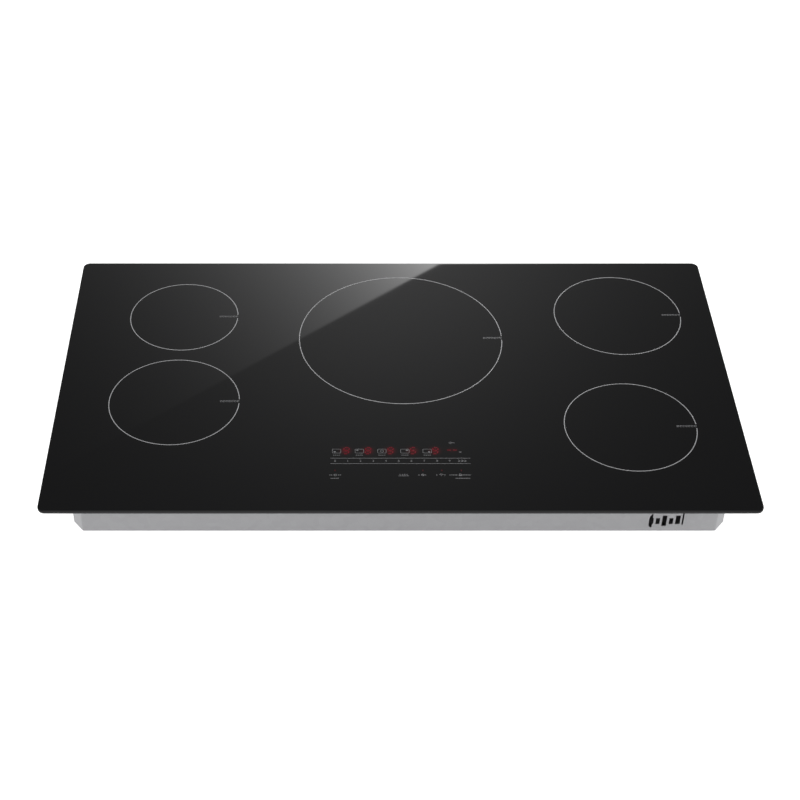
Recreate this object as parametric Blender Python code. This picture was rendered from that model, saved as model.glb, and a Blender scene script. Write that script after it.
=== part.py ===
"""A 36 inch drop-in induction cooktop with five cooking zones, as an assembly of its separate pieces.

Metres, +Z up, +Y towards the back. The origin is on the surface that the pan stands on, under the centre.
The black glass overhangs a shallow sheet-steel pan. Inside the pan are coils on sprung plates, and under
each outer pair of coils an inverter module: a board, a heat sink and a blower that cools it. The right
module blows out at the front, and the left one is the same module turned half round, so it blows out at
the back.
"""

import math

import bmesh
import bpy
from mathutils import Matrix, Vector

GAP = 0.0003  # left between pieces that touch

# Glass
GLASS_WIDTH = 0.933
GLASS_DEPTH = 0.540
GLASS_THICK = 0.004
GLASS_CORNER = 0.010
BEVEL_RUN = 0.0015  # the front edge is bevelled, and the other edges only have a small arris
BEVEL_DROP = 0.0010
ARRIS = 0.0004
TOTAL_HEIGHT = 0.065
GLASS_UNDER = TOTAL_HEIGHT - GLASS_THICK

# Foam tape between the glass and the worktop
TAPE_INSET = 0.006
TAPE_WIDTH = 0.012
TAPE_THICK = 0.002

# Pan
PAN_WIDTH = 0.860
PAN_DEPTH = 0.481
PAN_CORNER = (0.0135, 0.0170)  # how much of the front and of the side each corner cut takes
PAN_HEIGHT = 0.0605
SHEET = 0.001
BEND = 0.0016
WALL_X = PAN_WIDTH / 2
WALL_Y = PAN_DEPTH / 2
FLOOR = SHEET + GAP  # where things stand inside the pan

# Rails that join the glass to the side walls of the pan
RAIL_LENGTH = 0.420
RAIL_WIDTH = 0.012
RAIL_DROP = 0.0165
RAIL_SHEET = 0.0015

# Screws
SCREW_SHANK = 0.0018
SCREW_HEAD = 0.0038
SCREW_HOLE = 0.0022
CASE_SCREW_Y = 0.150
CASE_SCREW_Z = 0.052

# Brackets that hold the cooktop down, with their clamp screws
BRACKET_WIDTH = 0.040
BRACKET_REACH = 0.030
BRACKET_LEG_Z = 0.0195
BRACKET_TOP = 0.046
BRACKET_SHEET = 0.0015
BRACKET_SCREW_Z = 0.036
CLAMP_X = 0.450
CLAMP_RADIUS = 0.0025
CLAMP_LOW = 0.001
CLAMP_HIGH = 0.025
CLAMP_FOOT_RADIUS = 0.006
CLAMP_FOOT_THICK = 0.004

# Cable entry at the back
ENTRY_X = 0.195
ENTRY_Z = 0.030
ENTRY_COVER = (0.100, 0.050)
ENTRY_OPENING = (0.080, 0.036)
COVER_SCREW_OFFSET = 0.044
CONNECTOR_THREAD = 0.0110
CONNECTOR_BORE = 0.0090

# Coils: name, centre, radius of the winding, angle at which the leads leave, and where they drop
COILS = (
    ("left_rear", (-0.305, 0.137), 0.072, 0, -0.190),
    ("left_front", (-0.306, -0.053), 0.084, 20, -0.190),
    ("centre", (0.010, 0.087), 0.136, -35, 0.180),
    ("right_rear", (0.329, 0.141), 0.086, 245, 0.205),
    ("right_front", (0.316, -0.105), 0.083, 180, 0.205),
)
WINDING_INNER = 0.022
WINDING_LOW = 0.0560
WINDING_HIGH = 0.0600
FORMER_LOW = 0.0533
FORMER_HIGH = 0.0557
FORMER_RIM = 0.002
FORMER_HOLE = 0.016
FERRITE_CHANNELS = 8
CHANNEL_WIDTH = 0.012
CHANNEL_LOW = 0.0490
LEAD_RADIUS = 0.0016
LEAD_SPACING = 0.008
LEAD_END = 0.0162
SENSOR_RADIUS = 0.0090

# Sprung plates under the coils: name, low corner, high corner, and where the springs stand
PLATES = (
    ("left", (-0.4215, -0.150), (-0.2015, 0.222), ((-0.411, 0.165), (-0.411, -0.120), (-0.236, -0.100))),
    ("centre", (-0.140, -0.060), (0.160, 0.2335), ((-0.120, -0.045), (0.140, -0.045), (0.010, 0.222))),
    ("right", (0.222, -0.200), (0.4215, 0.2325), ((0.411, -0.165), (0.411, 0.205), (0.236, 0.100))),
)
PLATE_LOW = 0.0475
PLATE_SHEET = 0.001
PLATE_FLANGE = 0.004
SPRING_RADIUS = 0.0054
SPRING_WIRE = 0.0006
SPRING_TURNS = 4

# Inverter module, as it stands on the right
BOARD_LOW = 0.008
BOARD_THICK = 0.0016
BOARD_TOP = BOARD_LOW + BOARD_THICK
BOARD_CORNERS = ((0.170, -0.195), (0.400, 0.072))
SINK_X = (0.330, 0.395)
SINK_Y = (-0.170, 0.060)
SINK_BASE = (0.014, 0.018)
SINK_TOP = 0.040
SINK_FINS = 11
FIN_THICK = 0.0016
FAN_CENTRE = (0.345, 0.135)
VOLUTE_SMALL = 0.0435
VOLUTE_LARGE = 0.055
VOLUTE_START = -75
VOLUTE_STEP = 15
VOLUTE_OUTLET = 0.060
VOLUTE_TOP = 0.034
VOLUTE_WALL = 0.0015
INLET_RADIUS = 0.030
WHEEL_RADIUS = 0.0385
WHEEL_BLADES = 12
BLADE_INNER = 0.029
BLADE_SLANT = 35

# Vents
VENT_FIRST_X = 0.3300
VENT_FIRST_SLOT = (  # outline about its own middle, across and up
    (0.0000, 0.0070), (0.0019, 0.0070), (0.0019, 0.0133), (0.0032, 0.0133), (0.0032, 0.0243),
    (0.0019, 0.0243), (0.0019, 0.0310), (0.0002, 0.0310), (-0.0020, 0.0275), (-0.0028, 0.0220),
    (-0.0028, 0.0125), (-0.0020, 0.0090),
)  # fmt: skip
VENT_SLOTS = (  # middle, width, low edge, high edge
    (0.3388, 0.0053, 0.0131, 0.0240),
    (0.3474, 0.0061, 0.0095, 0.0288),
    (0.3562, 0.0055, 0.0131, 0.0240),
    (0.3649, 0.0062, 0.0131, 0.0287),
    (0.3714, 0.0023, 0.0122, 0.0335),
)
INTAKE_SLOTS = 16
INTAKE_REACH = (0.012, 0.036)
INTAKE_SLOT_WIDTH = 0.0034
FLOOR_SLOTS = 9
FLOOR_SLOT_SIZE = (0.004, 0.036)
FLOOR_SLOT_PITCH = 0.012

# Mains filter board
FILTER_CORNERS = ((-0.125, 0.085), (0.135, 0.205))

# Touch control
TOUCH_CENTRE = (0.002, -0.173)
TOUCH_CASE = (0.230, 0.098)
TOUCH_CASE_LOW = 0.046
TOUCH_CASE_WALL = 0.002
TOUCH_BOARD = (0.218, 0.086)
TOUCH_BOARD_LOW = 0.0503
RIBBON_Y = -0.160
RIBBON_WIDTH = 0.014
RIBBON_THICK = 0.001

FULL_TURN = 2 * math.pi
HALF_TURN = Matrix.Rotation(math.pi, 4, "Z")


def clear_scene():
    for obj in list(bpy.data.objects):
        bpy.data.objects.remove(obj)


def material(name, colour, roughness, metallic=0.0):
    made = bpy.data.materials.get(name)
    if made is None:
        made = bpy.data.materials.new(name)
        made.use_nodes = True
        shader = made.node_tree.nodes["Principled BSDF"]
        shader.inputs["Base Color"].default_value = (*colour, 1.0)
        shader.inputs["Roughness"].default_value = roughness
        shader.inputs["Metallic"].default_value = metallic
    return made


def black_glass():
    return material("black glass ceramic", (0.010, 0.010, 0.011), 0.06)


def grey_foam():
    return material("closed-cell foam", (0.08, 0.08, 0.08), 0.95)


def pan_steel():
    return material("coated steel sheet", (0.36, 0.36, 0.37), 0.5, 0.3)


def zinc_steel():
    return material("zinc-plated steel", (0.62, 0.63, 0.64), 0.35, 1.0)


def aluminium():
    return material("aluminium", (0.72, 0.72, 0.73), 0.4, 1.0)


def copper():
    return material("copper litz", (0.72, 0.34, 0.18), 0.4, 1.0)


def black_plastic():
    return material("black plastic", (0.02, 0.02, 0.02), 0.5)


def white_plastic():
    return material("white plastic", (0.75, 0.75, 0.72), 0.5)


def board_green():
    return material("circuit board", (0.02, 0.16, 0.06), 0.45)


def ribbon_grey():
    return material("ribbon cable", (0.45, 0.45, 0.46), 0.6)


# Mesh tools. Each returns a bmesh of closed shells, and put() makes an object of it.


def put(name, shape, stuff, place=None, smooth=False):
    """Makes an object from a bmesh. place is a matrix for a shape drawn about its own axis."""
    bmesh.ops.recalc_face_normals(shape, faces=shape.faces)
    mesh = bpy.data.meshes.new(name)
    shape.to_mesh(mesh)
    shape.free()
    mesh.materials.append(stuff)
    if smooth:
        mesh.shade_smooth()
        mesh.set_sharp_from_angle(angle=math.radians(35))
    obj = bpy.data.objects.new(name, mesh)
    bpy.context.collection.objects.link(obj)
    if place is not None:
        obj.matrix_world = place
    return obj


def combine(obj, shape, operation, place=None):
    """Cuts a bmesh out of an object, or joins it on, with a hidden helper."""
    helper = put(f"{obj.name}_{operation.lower()}_helper", shape, obj.data.materials[0], place)
    helper.hide_render = True
    helper.display_type = "WIRE"
    modifier = obj.modifiers.new(operation.title(), "BOOLEAN")
    modifier.operation = operation
    modifier.solver = "EXACT"
    modifier.object = helper
    return obj


def cut(obj, shape, place=None):
    return combine(obj, shape, "DIFFERENCE", place)


def join(obj, shape, place=None):
    return combine(obj, shape, "UNION", place)


def loft(rings):
    """A shell through rings of points, with its first and last rings capped."""
    shape = bmesh.new()
    rows = [[shape.verts.new(point) for point in ring] for ring in rings]
    for low, high in zip(rows, rows[1:]):
        for i in range(len(low)):
            j = (i + 1) % len(low)
            shape.faces.new((low[i], low[j], high[j], high[i]))
    shape.faces.new(rows[0][::-1])
    shape.faces.new(rows[-1])
    return shape


def prism(outline, low, high):
    """An outline in X and Y, extruded along Z."""
    return loft([[(x, y, z) for x, y in outline] for z in (low, high)])


def prism_along_y(outline, low, high):
    """An outline in X and Z, extruded along Y."""
    return loft([[(x, y, z) for x, z in outline] for y in (low, high)])


def rectangle(x0, y0, x1, y1):
    return [(x0, y0), (x1, y0), (x1, y1), (x0, y1)]


def add(shape, other):
    """Adds the shells of another bmesh to a bmesh."""
    mesh = bpy.data.meshes.new("scratch")
    other.to_mesh(mesh)
    other.free()
    shape.from_mesh(mesh)
    bpy.data.meshes.remove(mesh)
    return shape


def block(low, high):
    """A box between two corners."""
    return prism(rectangle(low[0], low[1], high[0], high[1]), low[2], high[2])


def blocks(corners):
    shape = bmesh.new()
    for low, high in corners:
        add(shape, block(low, high))
    return shape


def circle(centre, radius, sides):
    angles = [FULL_TURN * i / sides for i in range(sides)]
    return [(centre[0] + radius * math.cos(a), centre[1] + radius * math.sin(a)) for a in angles]


def post(centre, radius, low, high, sides=12):
    return prism(circle(centre, radius, sides), low, high)


def turned(profile, sides):
    """A profile of radius and height, turned about Z. A closed loop makes a ring, and a profile
    whose ends are on the axis makes a solid."""
    shape = bmesh.new()
    columns = []
    on_axis = {}
    for i in range(sides):
        angle = FULL_TURN * i / sides
        column = []
        for k, (radius, height) in enumerate(profile):
            if radius == 0 and k in on_axis:
                column.append(on_axis[k])
                continue
            vert = shape.verts.new((radius * math.cos(angle), radius * math.sin(angle), height))
            if radius == 0:
                on_axis[k] = vert
            column.append(vert)
        columns.append(column)
    steps = len(profile) - 1 if on_axis else len(profile)
    for i in range(sides):
        here, there = columns[i], columns[(i + 1) % sides]
        for k in range(steps):
            m = (k + 1) % len(profile)
            corners = dict.fromkeys((here[k], there[k], there[m], here[m]))
            shape.faces.new(tuple(corners))
    return shape


def tube(points, radius, sides):
    """A round tube through points, with flat ends."""
    points = [Vector(point) for point in points]
    rings = []
    side = None
    for i, point in enumerate(points):
        along = (points[min(i + 1, len(points) - 1)] - points[max(i - 1, 0)]).normalized()
        if side is None:
            side = along.orthogonal().normalized()
        side = (side - along * side.dot(along)).normalized()
        across = along.cross(side)
        angles = [FULL_TURN * k / sides for k in range(sides)]
        rings.append([point + (side * math.cos(a) + across * math.sin(a)) * radius for a in angles])
    return loft(rings)


def smooth_line(points, steps):
    """Points on a Catmull-Rom curve through the given ones."""
    points = [Vector(point) for point in points]
    ends = [2 * points[0] - points[1], *points, 2 * points[-1] - points[-2]]
    line = []
    for a, b, c, d in zip(ends, ends[1:], ends[2:], ends[3:]):
        for i in range(steps):
            t = i / steps
            square = (2 * a - 5 * b + 4 * c - d) * t**2
            cube = (3 * b - a - 3 * c + d) * t**3
            line.append(0.5 * (2 * b + (c - a) * t + square + cube))
    return [*line, points[-1]]


def rounded_outline(width, depth, radius, steps):
    outline = []
    corners = ((1, 1, 0), (-1, 1, 90), (-1, -1, 180), (1, -1, 270))
    for x_side, y_side, start in corners:
        for i in range(steps + 1):
            angle = math.radians(start + 90 * i / steps)
            outline.append(
                (
                    x_side * (width / 2 - radius) + radius * math.cos(angle),
                    y_side * (depth / 2 - radius) + radius * math.sin(angle),
                )
            )
    return outline


def pan_outline(inset):
    """The pan's plan: a rectangle with its corners cut, moved in by inset on every side."""
    x, y = WALL_X - inset, WALL_Y - inset
    a, b = PAN_CORNER
    moved = a * b - inset * (a + b - math.hypot(a, b))
    a, b = moved / b, moved / a
    return [
        (x, y - b), (x - a, y), (a - x, y), (-x, y - b), (-x, b - y), (a - x, -y), (x - a, -y), (x, b - y),
    ]  # fmt: skip


# Glass and its fixings


def glass_outline(front, others, corner):
    """The sheet's plan, moved in by front at its front edge and by others at the rest."""
    outline = rounded_outline(GLASS_WIDTH - 2 * others, GLASS_DEPTH - front - others, corner, 8)
    return [(x, y + (front - others) / 2) for x, y in outline]


def glass_top():
    full = glass_outline(0, 0, GLASS_CORNER)
    near = glass_outline(BEVEL_RUN * (1 - ARRIS / BEVEL_DROP), 0, GLASS_CORNER)
    inner = glass_outline(BEVEL_RUN, ARRIS, GLASS_CORNER - ARRIS)
    rings = (
        (full, GLASS_UNDER),
        (full, TOTAL_HEIGHT - BEVEL_DROP),
        (near, TOTAL_HEIGHT - ARRIS),
        (inner, TOTAL_HEIGHT),
    )
    put("glass_top", loft([[(x, y, z) for x, y in ring] for ring, z in rings]), black_glass(), smooth=True)


def edge_gasket():
    high = GLASS_UNDER - GAP
    low = high - TAPE_THICK
    width, depth = GLASS_WIDTH / 2 - TAPE_INSET, GLASS_DEPTH / 2 - TAPE_INSET
    tape = put("edge_gasket", block((-width, -depth, low), (width, depth, high)), grey_foam())
    width, depth = width - TAPE_WIDTH, depth - TAPE_WIDTH
    cut(tape, block((-width, -depth, low - TAPE_THICK), (width, depth, high + TAPE_THICK)))


def glass_rail(side):
    """An angle glued under the glass, with its leg inside the pan's side wall."""
    outer = WALL_X - SHEET - GAP
    high = GLASS_UNDER - GAP
    outline = [
        (outer, high - RAIL_DROP), (outer, high), (outer - RAIL_WIDTH, high),
        (outer - RAIL_WIDTH, high - RAIL_SHEET), (outer - RAIL_SHEET, high - RAIL_SHEET),
        (outer - RAIL_SHEET, high - RAIL_DROP),
    ]  # fmt: skip
    place = None if side == "right" else HALF_TURN
    name = f"glass_rail_{side}"
    rail = put(name, prism_along_y(outline, -RAIL_LENGTH / 2, RAIL_LENGTH / 2), zinc_steel(), place)
    holes = bmesh.new()
    for y in (-CASE_SCREW_Y, CASE_SCREW_Y):
        add(holes, side_hole(outer, y, CASE_SCREW_Z, SCREW_HOLE))
    cut(rail, holes, place)


def side_hole(x, y, z, radius):
    """A round cutter through a wall that faces +X."""
    shape = post((0, 0), radius, -0.004, 0.004, sides=10)
    shape.transform(Matrix.Translation((x, y, z)) @ Matrix.Rotation(math.pi / 2, 4, "Y"))
    return shape


def screw(name, tip_depth, place):
    """A pan-head screw that points along -Z, with the underside of its head at height 0."""
    head = 0.0022
    profile = [
        (0, -tip_depth), (SCREW_SHANK, -tip_depth), (SCREW_SHANK, 0), (SCREW_HEAD, 0),
        (SCREW_HEAD, head * 0.6), (SCREW_HEAD * 0.6, head), (0, head),
    ]  # fmt: skip
    put(name, turned(profile, 10), zinc_steel(), place, smooth=True)


def case_screws():
    for side, angle in (("right", 90), ("left", -90)):
        for end, y in (("front", -CASE_SCREW_Y), ("rear", CASE_SCREW_Y)):
            x = (WALL_X + GAP) * math.copysign(1, angle)
            turn = Matrix.Rotation(math.radians(angle), 4, "Y")
            screw(f"case_screw_{side}_{end}", 0.0092, Matrix.Translation((x, y, CASE_SCREW_Z)) @ turn)


# Pan and what is fixed to its outside


def vent_slots(shape, place=None):
    """Adds the cutters for the outlet vent in the front wall to a bmesh."""
    outline = [(VENT_FIRST_X + x, z) for x, z in VENT_FIRST_SLOT]
    outside, inside = -WALL_Y - 0.004, -WALL_Y + 0.006
    slots = prism_along_y(outline, outside, inside)
    for middle, width, low, high in VENT_SLOTS:
        add(slots, block((middle - width / 2, outside, low), (middle + width / 2, inside, high)))
    if place is not None:
        slots.transform(place)
    return add(shape, slots)


def intake_slots(shape, place=None):
    """Adds the cutters for the radial slots in the floor under a blower to a bmesh."""
    slots = bmesh.new()
    for i in range(INTAKE_SLOTS):
        reach = INTAKE_REACH if i % 2 else (INTAKE_REACH[0] + 0.008, INTAKE_REACH[1])
        slot = block(
            (reach[0], -INTAKE_SLOT_WIDTH / 2, -0.003), (reach[1], INTAKE_SLOT_WIDTH / 2, 0.006)
        )
        slot.transform(Matrix.Rotation(FULL_TURN * i / INTAKE_SLOTS, 4, "Z"))
        add(slots, slot)
    slots.transform(Matrix.Translation((*FAN_CENTRE, 0)))
    if place is not None:
        slots.transform(place)
    return add(shape, slots)


def bottom_pan():
    slope = BEND * (1 - math.sqrt(0.5))
    inner_bend = BEND - SHEET
    inner_slope = inner_bend * (1 - math.sqrt(0.5))
    profile = (
        (BEND, 0), (slope, slope), (0, BEND), (0, PAN_HEIGHT), (SHEET, PAN_HEIGHT), (SHEET, BEND),
        (SHEET + inner_slope, SHEET + inner_slope), (BEND, SHEET),
    )  # fmt: skip
    rings = [[(x, y, z) for x, y in pan_outline(inset)] for inset, z in profile]
    pan = put("bottom_pan", loft(rings), pan_steel())
    holes = bmesh.new()
    for place in (None, HALF_TURN):
        vent_slots(holes, place)
        intake_slots(holes, place)
        side = bmesh.new()
        for y in (-CASE_SCREW_Y, CASE_SCREW_Y):
            add(side, side_hole(WALL_X, y, CASE_SCREW_Z, SCREW_HOLE))
        add(side, side_hole(WALL_X, 0, BRACKET_SCREW_Z, SCREW_HOLE))
        if place is not None:
            side.transform(place)
        add(holes, side)
    for row in (-0.090, 0.010):
        for i in range(FLOOR_SLOTS):
            x = (i - (FLOOR_SLOTS - 1) / 2) * FLOOR_SLOT_PITCH
            half = [size / 2 for size in FLOOR_SLOT_SIZE]
            add(holes, block((x - half[0], row - half[1], -0.003), (x + half[0], row + half[1], 0.006)))
    half_width, half_height = (size / 2 for size in ENTRY_OPENING)
    add(
        holes,
        block(
            (ENTRY_X - half_width, WALL_Y - 0.005, ENTRY_Z - half_height),
            (ENTRY_X + half_width, WALL_Y + 0.005, ENTRY_Z + half_height),
        ),
    )
    add(holes, back_hole(ENTRY_X - COVER_SCREW_OFFSET, ENTRY_Z, SCREW_HOLE, 10))
    cut(pan, holes)


def back_hole(x, z, radius, sides):
    """A round cutter through the back wall."""
    shape = post((0, 0), radius, -0.004, 0.004, sides=sides)
    shape.transform(Matrix.Translation((x, WALL_Y, z)) @ Matrix.Rotation(math.pi / 2, 4, "X"))
    return shape


def cable_entry():
    """The cover over the wiring opening, its screw, and the connector for the mains conduit."""
    inside = WALL_Y + GAP
    outside = inside + SHEET
    half_width, half_height = (size / 2 for size in ENTRY_COVER)
    cover = put(
        "junction_cover",
        block(
            (ENTRY_X - half_width, inside, ENTRY_Z - half_height),
            (ENTRY_X + half_width, outside, ENTRY_Z + half_height),
        ),
        zinc_steel(),
    )
    holes = add(
        back_hole(ENTRY_X, ENTRY_Z, CONNECTOR_THREAD + GAP, 20),
        back_hole(ENTRY_X - COVER_SCREW_OFFSET, ENTRY_Z, SCREW_HOLE, 10),
    )
    cut(cover, holes)
    turn = Matrix.Rotation(-math.pi / 2, 4, "X")
    place = Matrix.Translation((ENTRY_X - COVER_SCREW_OFFSET, outside + GAP, ENTRY_Z)) @ turn
    screw("cover_screw", 0.008, place)

    flange, collar = 0.0155, 0.0130
    start = -(GAP + SHEET + 0.010)
    profile = [
        (CONNECTOR_BORE, start), (CONNECTOR_THREAD, start), (CONNECTOR_THREAD, GAP), (flange, GAP),
        (flange, 0.0045), (collar, 0.0055), (collar, 0.0240), (CONNECTOR_BORE + 0.0015, 0.0255),
        (CONNECTOR_BORE, 0.0255),
    ]  # fmt: skip
    place = Matrix.Translation((ENTRY_X, outside, ENTRY_Z)) @ turn
    put("conduit_connector", turned(profile, 20), zinc_steel(), place, smooth=True)


def terminal_block():
    """The block that the mains wires are screwed to, with an open well for each wire."""
    width, depth, height = 0.060, 0.030, 0.022
    y = 0.190
    low = (ENTRY_X - width / 2, y - depth / 2, FLOOR)
    high = (ENTRY_X + width / 2, y + depth / 2, FLOOR + height)
    body = put("terminal_block", block(low, high), white_plastic())
    wells = []
    for i in (-1, 0, 1):
        x = ENTRY_X + i * 0.0185
        wells.append(((x - 0.007, y - 0.009, FLOOR + 0.010), (x + 0.007, y + depth, FLOOR + height + 0.01)))
    cut(body, blocks(wells))


def retaining_bracket(side):
    """An angle screwed to a side wall. Its clamp screw presses up on the underside of the worktop."""
    inner = WALL_X + GAP
    outer = inner + BRACKET_SHEET
    outline = [
        (inner, BRACKET_LEG_Z), (WALL_X + BRACKET_REACH, BRACKET_LEG_Z),
        (WALL_X + BRACKET_REACH, BRACKET_LEG_Z + BRACKET_SHEET), (outer, BRACKET_LEG_Z + BRACKET_SHEET),
        (outer, BRACKET_TOP), (inner, BRACKET_TOP),
    ]  # fmt: skip
    place = Matrix.Identity(4) if side == "right" else HALF_TURN
    shape = prism_along_y(outline, -BRACKET_WIDTH / 2, BRACKET_WIDTH / 2)
    bracket = put(f"retaining_bracket_{side}", shape, zinc_steel(), place)
    middle = BRACKET_LEG_Z + BRACKET_SHEET / 2
    holes = post((CLAMP_X, 0), CLAMP_RADIUS + GAP, middle - 0.004, middle + 0.004, sides=14)
    add(holes, side_hole(inner, 0, BRACKET_SCREW_Z, SCREW_HOLE))
    cut(bracket, holes, place)

    seat = Matrix.Translation((outer + GAP, 0, BRACKET_SCREW_Z))
    screw(f"bracket_screw_{side}", 0.009, place @ seat @ Matrix.Rotation(math.pi / 2, 4, "Y"))

    foot = CLAMP_HIGH + CLAMP_FOOT_THICK
    profile = [
        (0, CLAMP_LOW), (CLAMP_RADIUS, CLAMP_LOW), (CLAMP_RADIUS, CLAMP_HIGH),
        (CLAMP_FOOT_RADIUS, CLAMP_HIGH), (CLAMP_FOOT_RADIUS, foot), (0, foot),
    ]  # fmt: skip
    put(f"clamp_screw_{side}", turned(profile, 12), zinc_steel(), place @ Matrix.Translation((CLAMP_X, 0, 0)))


# Coils


def coil_lead(centre, radius, angle, drop_x, offset):
    """One litz lead: out from the edge of the winding, across to drop_x, then down to its board."""
    angle = math.radians(angle)
    out = Vector((math.cos(angle), math.sin(angle), 0))
    across = Vector((0, 1, 0)) * offset
    middle = (WINDING_LOW + WINDING_HIGH) / 2
    leave = Vector((*centre, middle)) + across
    y = centre[1] + (radius + 0.006) * out.y + offset
    toward = math.copysign(1, drop_x - centre[0])
    points = [
        leave + out * (radius - 0.006),
        leave + out * (radius + 0.002),
        (drop_x - toward * 0.012, y, middle),
        (drop_x - toward * 0.003, y, middle - 0.003),
        (drop_x, y, middle - 0.012),
        (drop_x, y, LEAD_END + 0.010),
        (drop_x, y, LEAD_END),
    ]
    return tube(points, LEAD_RADIUS, 5)


def coil(name, centre, radius, angle, drop_x):
    place = Matrix.Translation((*centre, 0))
    soft = 0.0008
    profile = [
        (WINDING_INNER, WINDING_LOW), (radius, WINDING_LOW), (radius, WINDING_HIGH - soft),
        (radius - soft, WINDING_HIGH), (WINDING_INNER, WINDING_HIGH),
    ]  # fmt: skip
    winding = put(f"coil_winding_{name}", turned(profile, 28), copper(), place, smooth=True)
    leads = bmesh.new()
    for side in (-1, 1):
        add(leads, coil_lead(centre, radius, angle, drop_x, side * LEAD_SPACING / 2))
    join(winding, leads)

    edge = radius + FORMER_RIM
    collar = FORMER_HOLE + 0.002
    profile = [
        (FORMER_HOLE, FORMER_LOW), (edge, FORMER_LOW), (edge, FORMER_HIGH), (collar, FORMER_HIGH),
        (collar, WINDING_HIGH - 0.001), (FORMER_HOLE, WINDING_HIGH - 0.001),
    ]  # fmt: skip
    former = put(f"coil_former_{name}", turned(profile, 24), black_plastic(), place)
    channels = bmesh.new()
    for i in range(FERRITE_CHANNELS):
        channel = block(
            (collar + 0.004, -CHANNEL_WIDTH / 2, CHANNEL_LOW),
            (radius - 0.003, CHANNEL_WIDTH / 2, FORMER_LOW + 0.001),
        )
        channel.transform(Matrix.Rotation(FULL_TURN * (i + 0.5) / FERRITE_CHANNELS, 4, "Z"))
        add(channels, channel)
    join(former, channels, place)

    base = PLATE_LOW + PLATE_SHEET + GAP
    cap = GLASS_UNDER - GAP
    profile = [
        (0, base), (FORMER_HOLE - 0.002, base), (FORMER_HOLE - 0.002, base + 0.0012),
        (SENSOR_RADIUS, base + 0.0012), (SENSOR_RADIUS, cap - 0.002), (SENSOR_RADIUS - 0.002, cap), (0, cap),
    ]  # fmt: skip
    put(f"temperature_sensor_{name}", turned(profile, 14), white_plastic(), place, smooth=True)


def spring(name, centre):
    """A compression spring between the pan's floor and a coil plate, with its ends wound flat."""
    low = FLOOR + SPRING_WIRE
    high = PLATE_LOW - GAP - SPRING_WIRE
    per_turn = 6
    count = SPRING_TURNS * per_turn
    points = []
    for i in range(count + 1):
        angle = FULL_TURN * i / per_turn
        rise = min(max((i - per_turn / 2) / (count - per_turn), 0), 1)
        x, y = SPRING_RADIUS * math.cos(angle), SPRING_RADIUS * math.sin(angle)
        points.append((centre[0] + x, centre[1] + y, low + rise * (high - low)))
    put(name, tube(points, SPRING_WIRE, 4), zinc_steel(), smooth=True)


def coil_plate(name, low, high, springs):
    """A folded aluminium plate that carries coils, with a hole for the wires of each sensor."""
    top = PLATE_LOW + PLATE_SHEET
    bottom = PLATE_LOW - PLATE_FLANGE
    outline = [
        (low[0], top), (low[0], bottom),
        (low[0] + PLATE_SHEET, bottom), (low[0] + PLATE_SHEET, PLATE_LOW),
        (high[0] - PLATE_SHEET, PLATE_LOW), (high[0] - PLATE_SHEET, bottom),
        (high[0], bottom), (high[0], top),
    ]  # fmt: skip
    plate = put(f"coil_plate_{name}", prism_along_y(outline, low[1], high[1]), aluminium())
    holes = bmesh.new()
    for coil_name, centre, radius, _, _ in COILS:
        if coil_name.startswith(name):
            add(holes, post(centre, FORMER_HOLE - 0.005, PLATE_LOW - 0.002, top + 0.002, sides=16))
            for turn in (45, 135, 225, 315):
                angle = math.radians(turn + 22.5)
                reach = radius * 0.62
                spot = (centre[0] + reach * math.cos(angle), centre[1] + reach * math.sin(angle))
                add(holes, post(spot, 0.008, PLATE_LOW - 0.002, top + 0.002, sides=10))
    cut(plate, holes)
    for i, spot in enumerate(springs):
        spring(f"plate_spring_{name}_{i + 1}", spot)


# Inverter modules


def board(name, low, high, parts, posts):
    """A circuit board on feet, with its parts soldered on. parts are blocks given by their corners
    in plan and height, and posts are round parts given by centre, radius and height."""
    made = put(name, block((*low, BOARD_LOW), (*high, BOARD_TOP)), board_green())
    sunk = BOARD_TOP - 0.0005
    shape = blocks([((x0, y0, sunk), (x1, y1, BOARD_TOP + height)) for x0, y0, x1, y1, height in parts])
    for centre, radius, height in posts:
        add(shape, post(centre, radius, sunk, BOARD_TOP + height, sides=14))
    inset = 0.008
    for x in (low[0] + inset, high[0] - inset):
        for y in (low[1] + inset, high[1] - inset):
            add(shape, post((x, y), 0.004, FLOOR, BOARD_LOW + 0.0005, sides=8))
    return join(made, shape)


def inverter_board(side):
    """The board's parts are drawn for the right-hand module, and the left one is turned half round."""
    place = Matrix.Identity(4) if side == "right" else HALF_TURN
    low, high = BOARD_CORNERS
    parts = []
    terminal_height = LEAD_END - GAP - BOARD_TOP
    for name, centre, radius, angle, drop_x in COILS:
        if (drop_x > 0) == (side == "right"):
            y = centre[1] + (radius + 0.006) * math.sin(math.radians(angle))
            x, y, _ = place @ Vector((drop_x, y, 0))
            parts.append((x - 0.005, y - 0.010, x + 0.005, y + 0.010, terminal_height))
    for i in range(4):  # resonance capacitors
        y = -0.150 + i * 0.050
        parts.append((0.236, y - 0.016, 0.256, y + 0.016, 0.026))
    for y in (-0.140, -0.085, -0.030, 0.025):  # transistors, under the heat sink
        parts.append((0.352, y - 0.008, 0.372, y + 0.008, SINK_BASE[0] - GAP - BOARD_TOP))
    parts.append((0.1805, RIBBON_Y - 0.010, 0.192, RIBBON_Y + 0.010, 0.009))
    posts = [((0.292, y), 0.013, 0.020) for y in (-0.150, -0.105)]  # smoothing chokes
    posts += [((0.290, y), 0.009, 0.028) for y in (-0.060, -0.034, -0.008)]  # electrolytics
    name = f"inverter_board_{side}"
    made = board(name, low, high, parts, posts)
    turn_about_origin(made, place)


def turn_about_origin(obj, place):
    """Moves an object and its helpers, which were built in place."""
    obj.matrix_world = place
    for modifier in obj.modifiers:
        modifier.object.matrix_world = place


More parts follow.
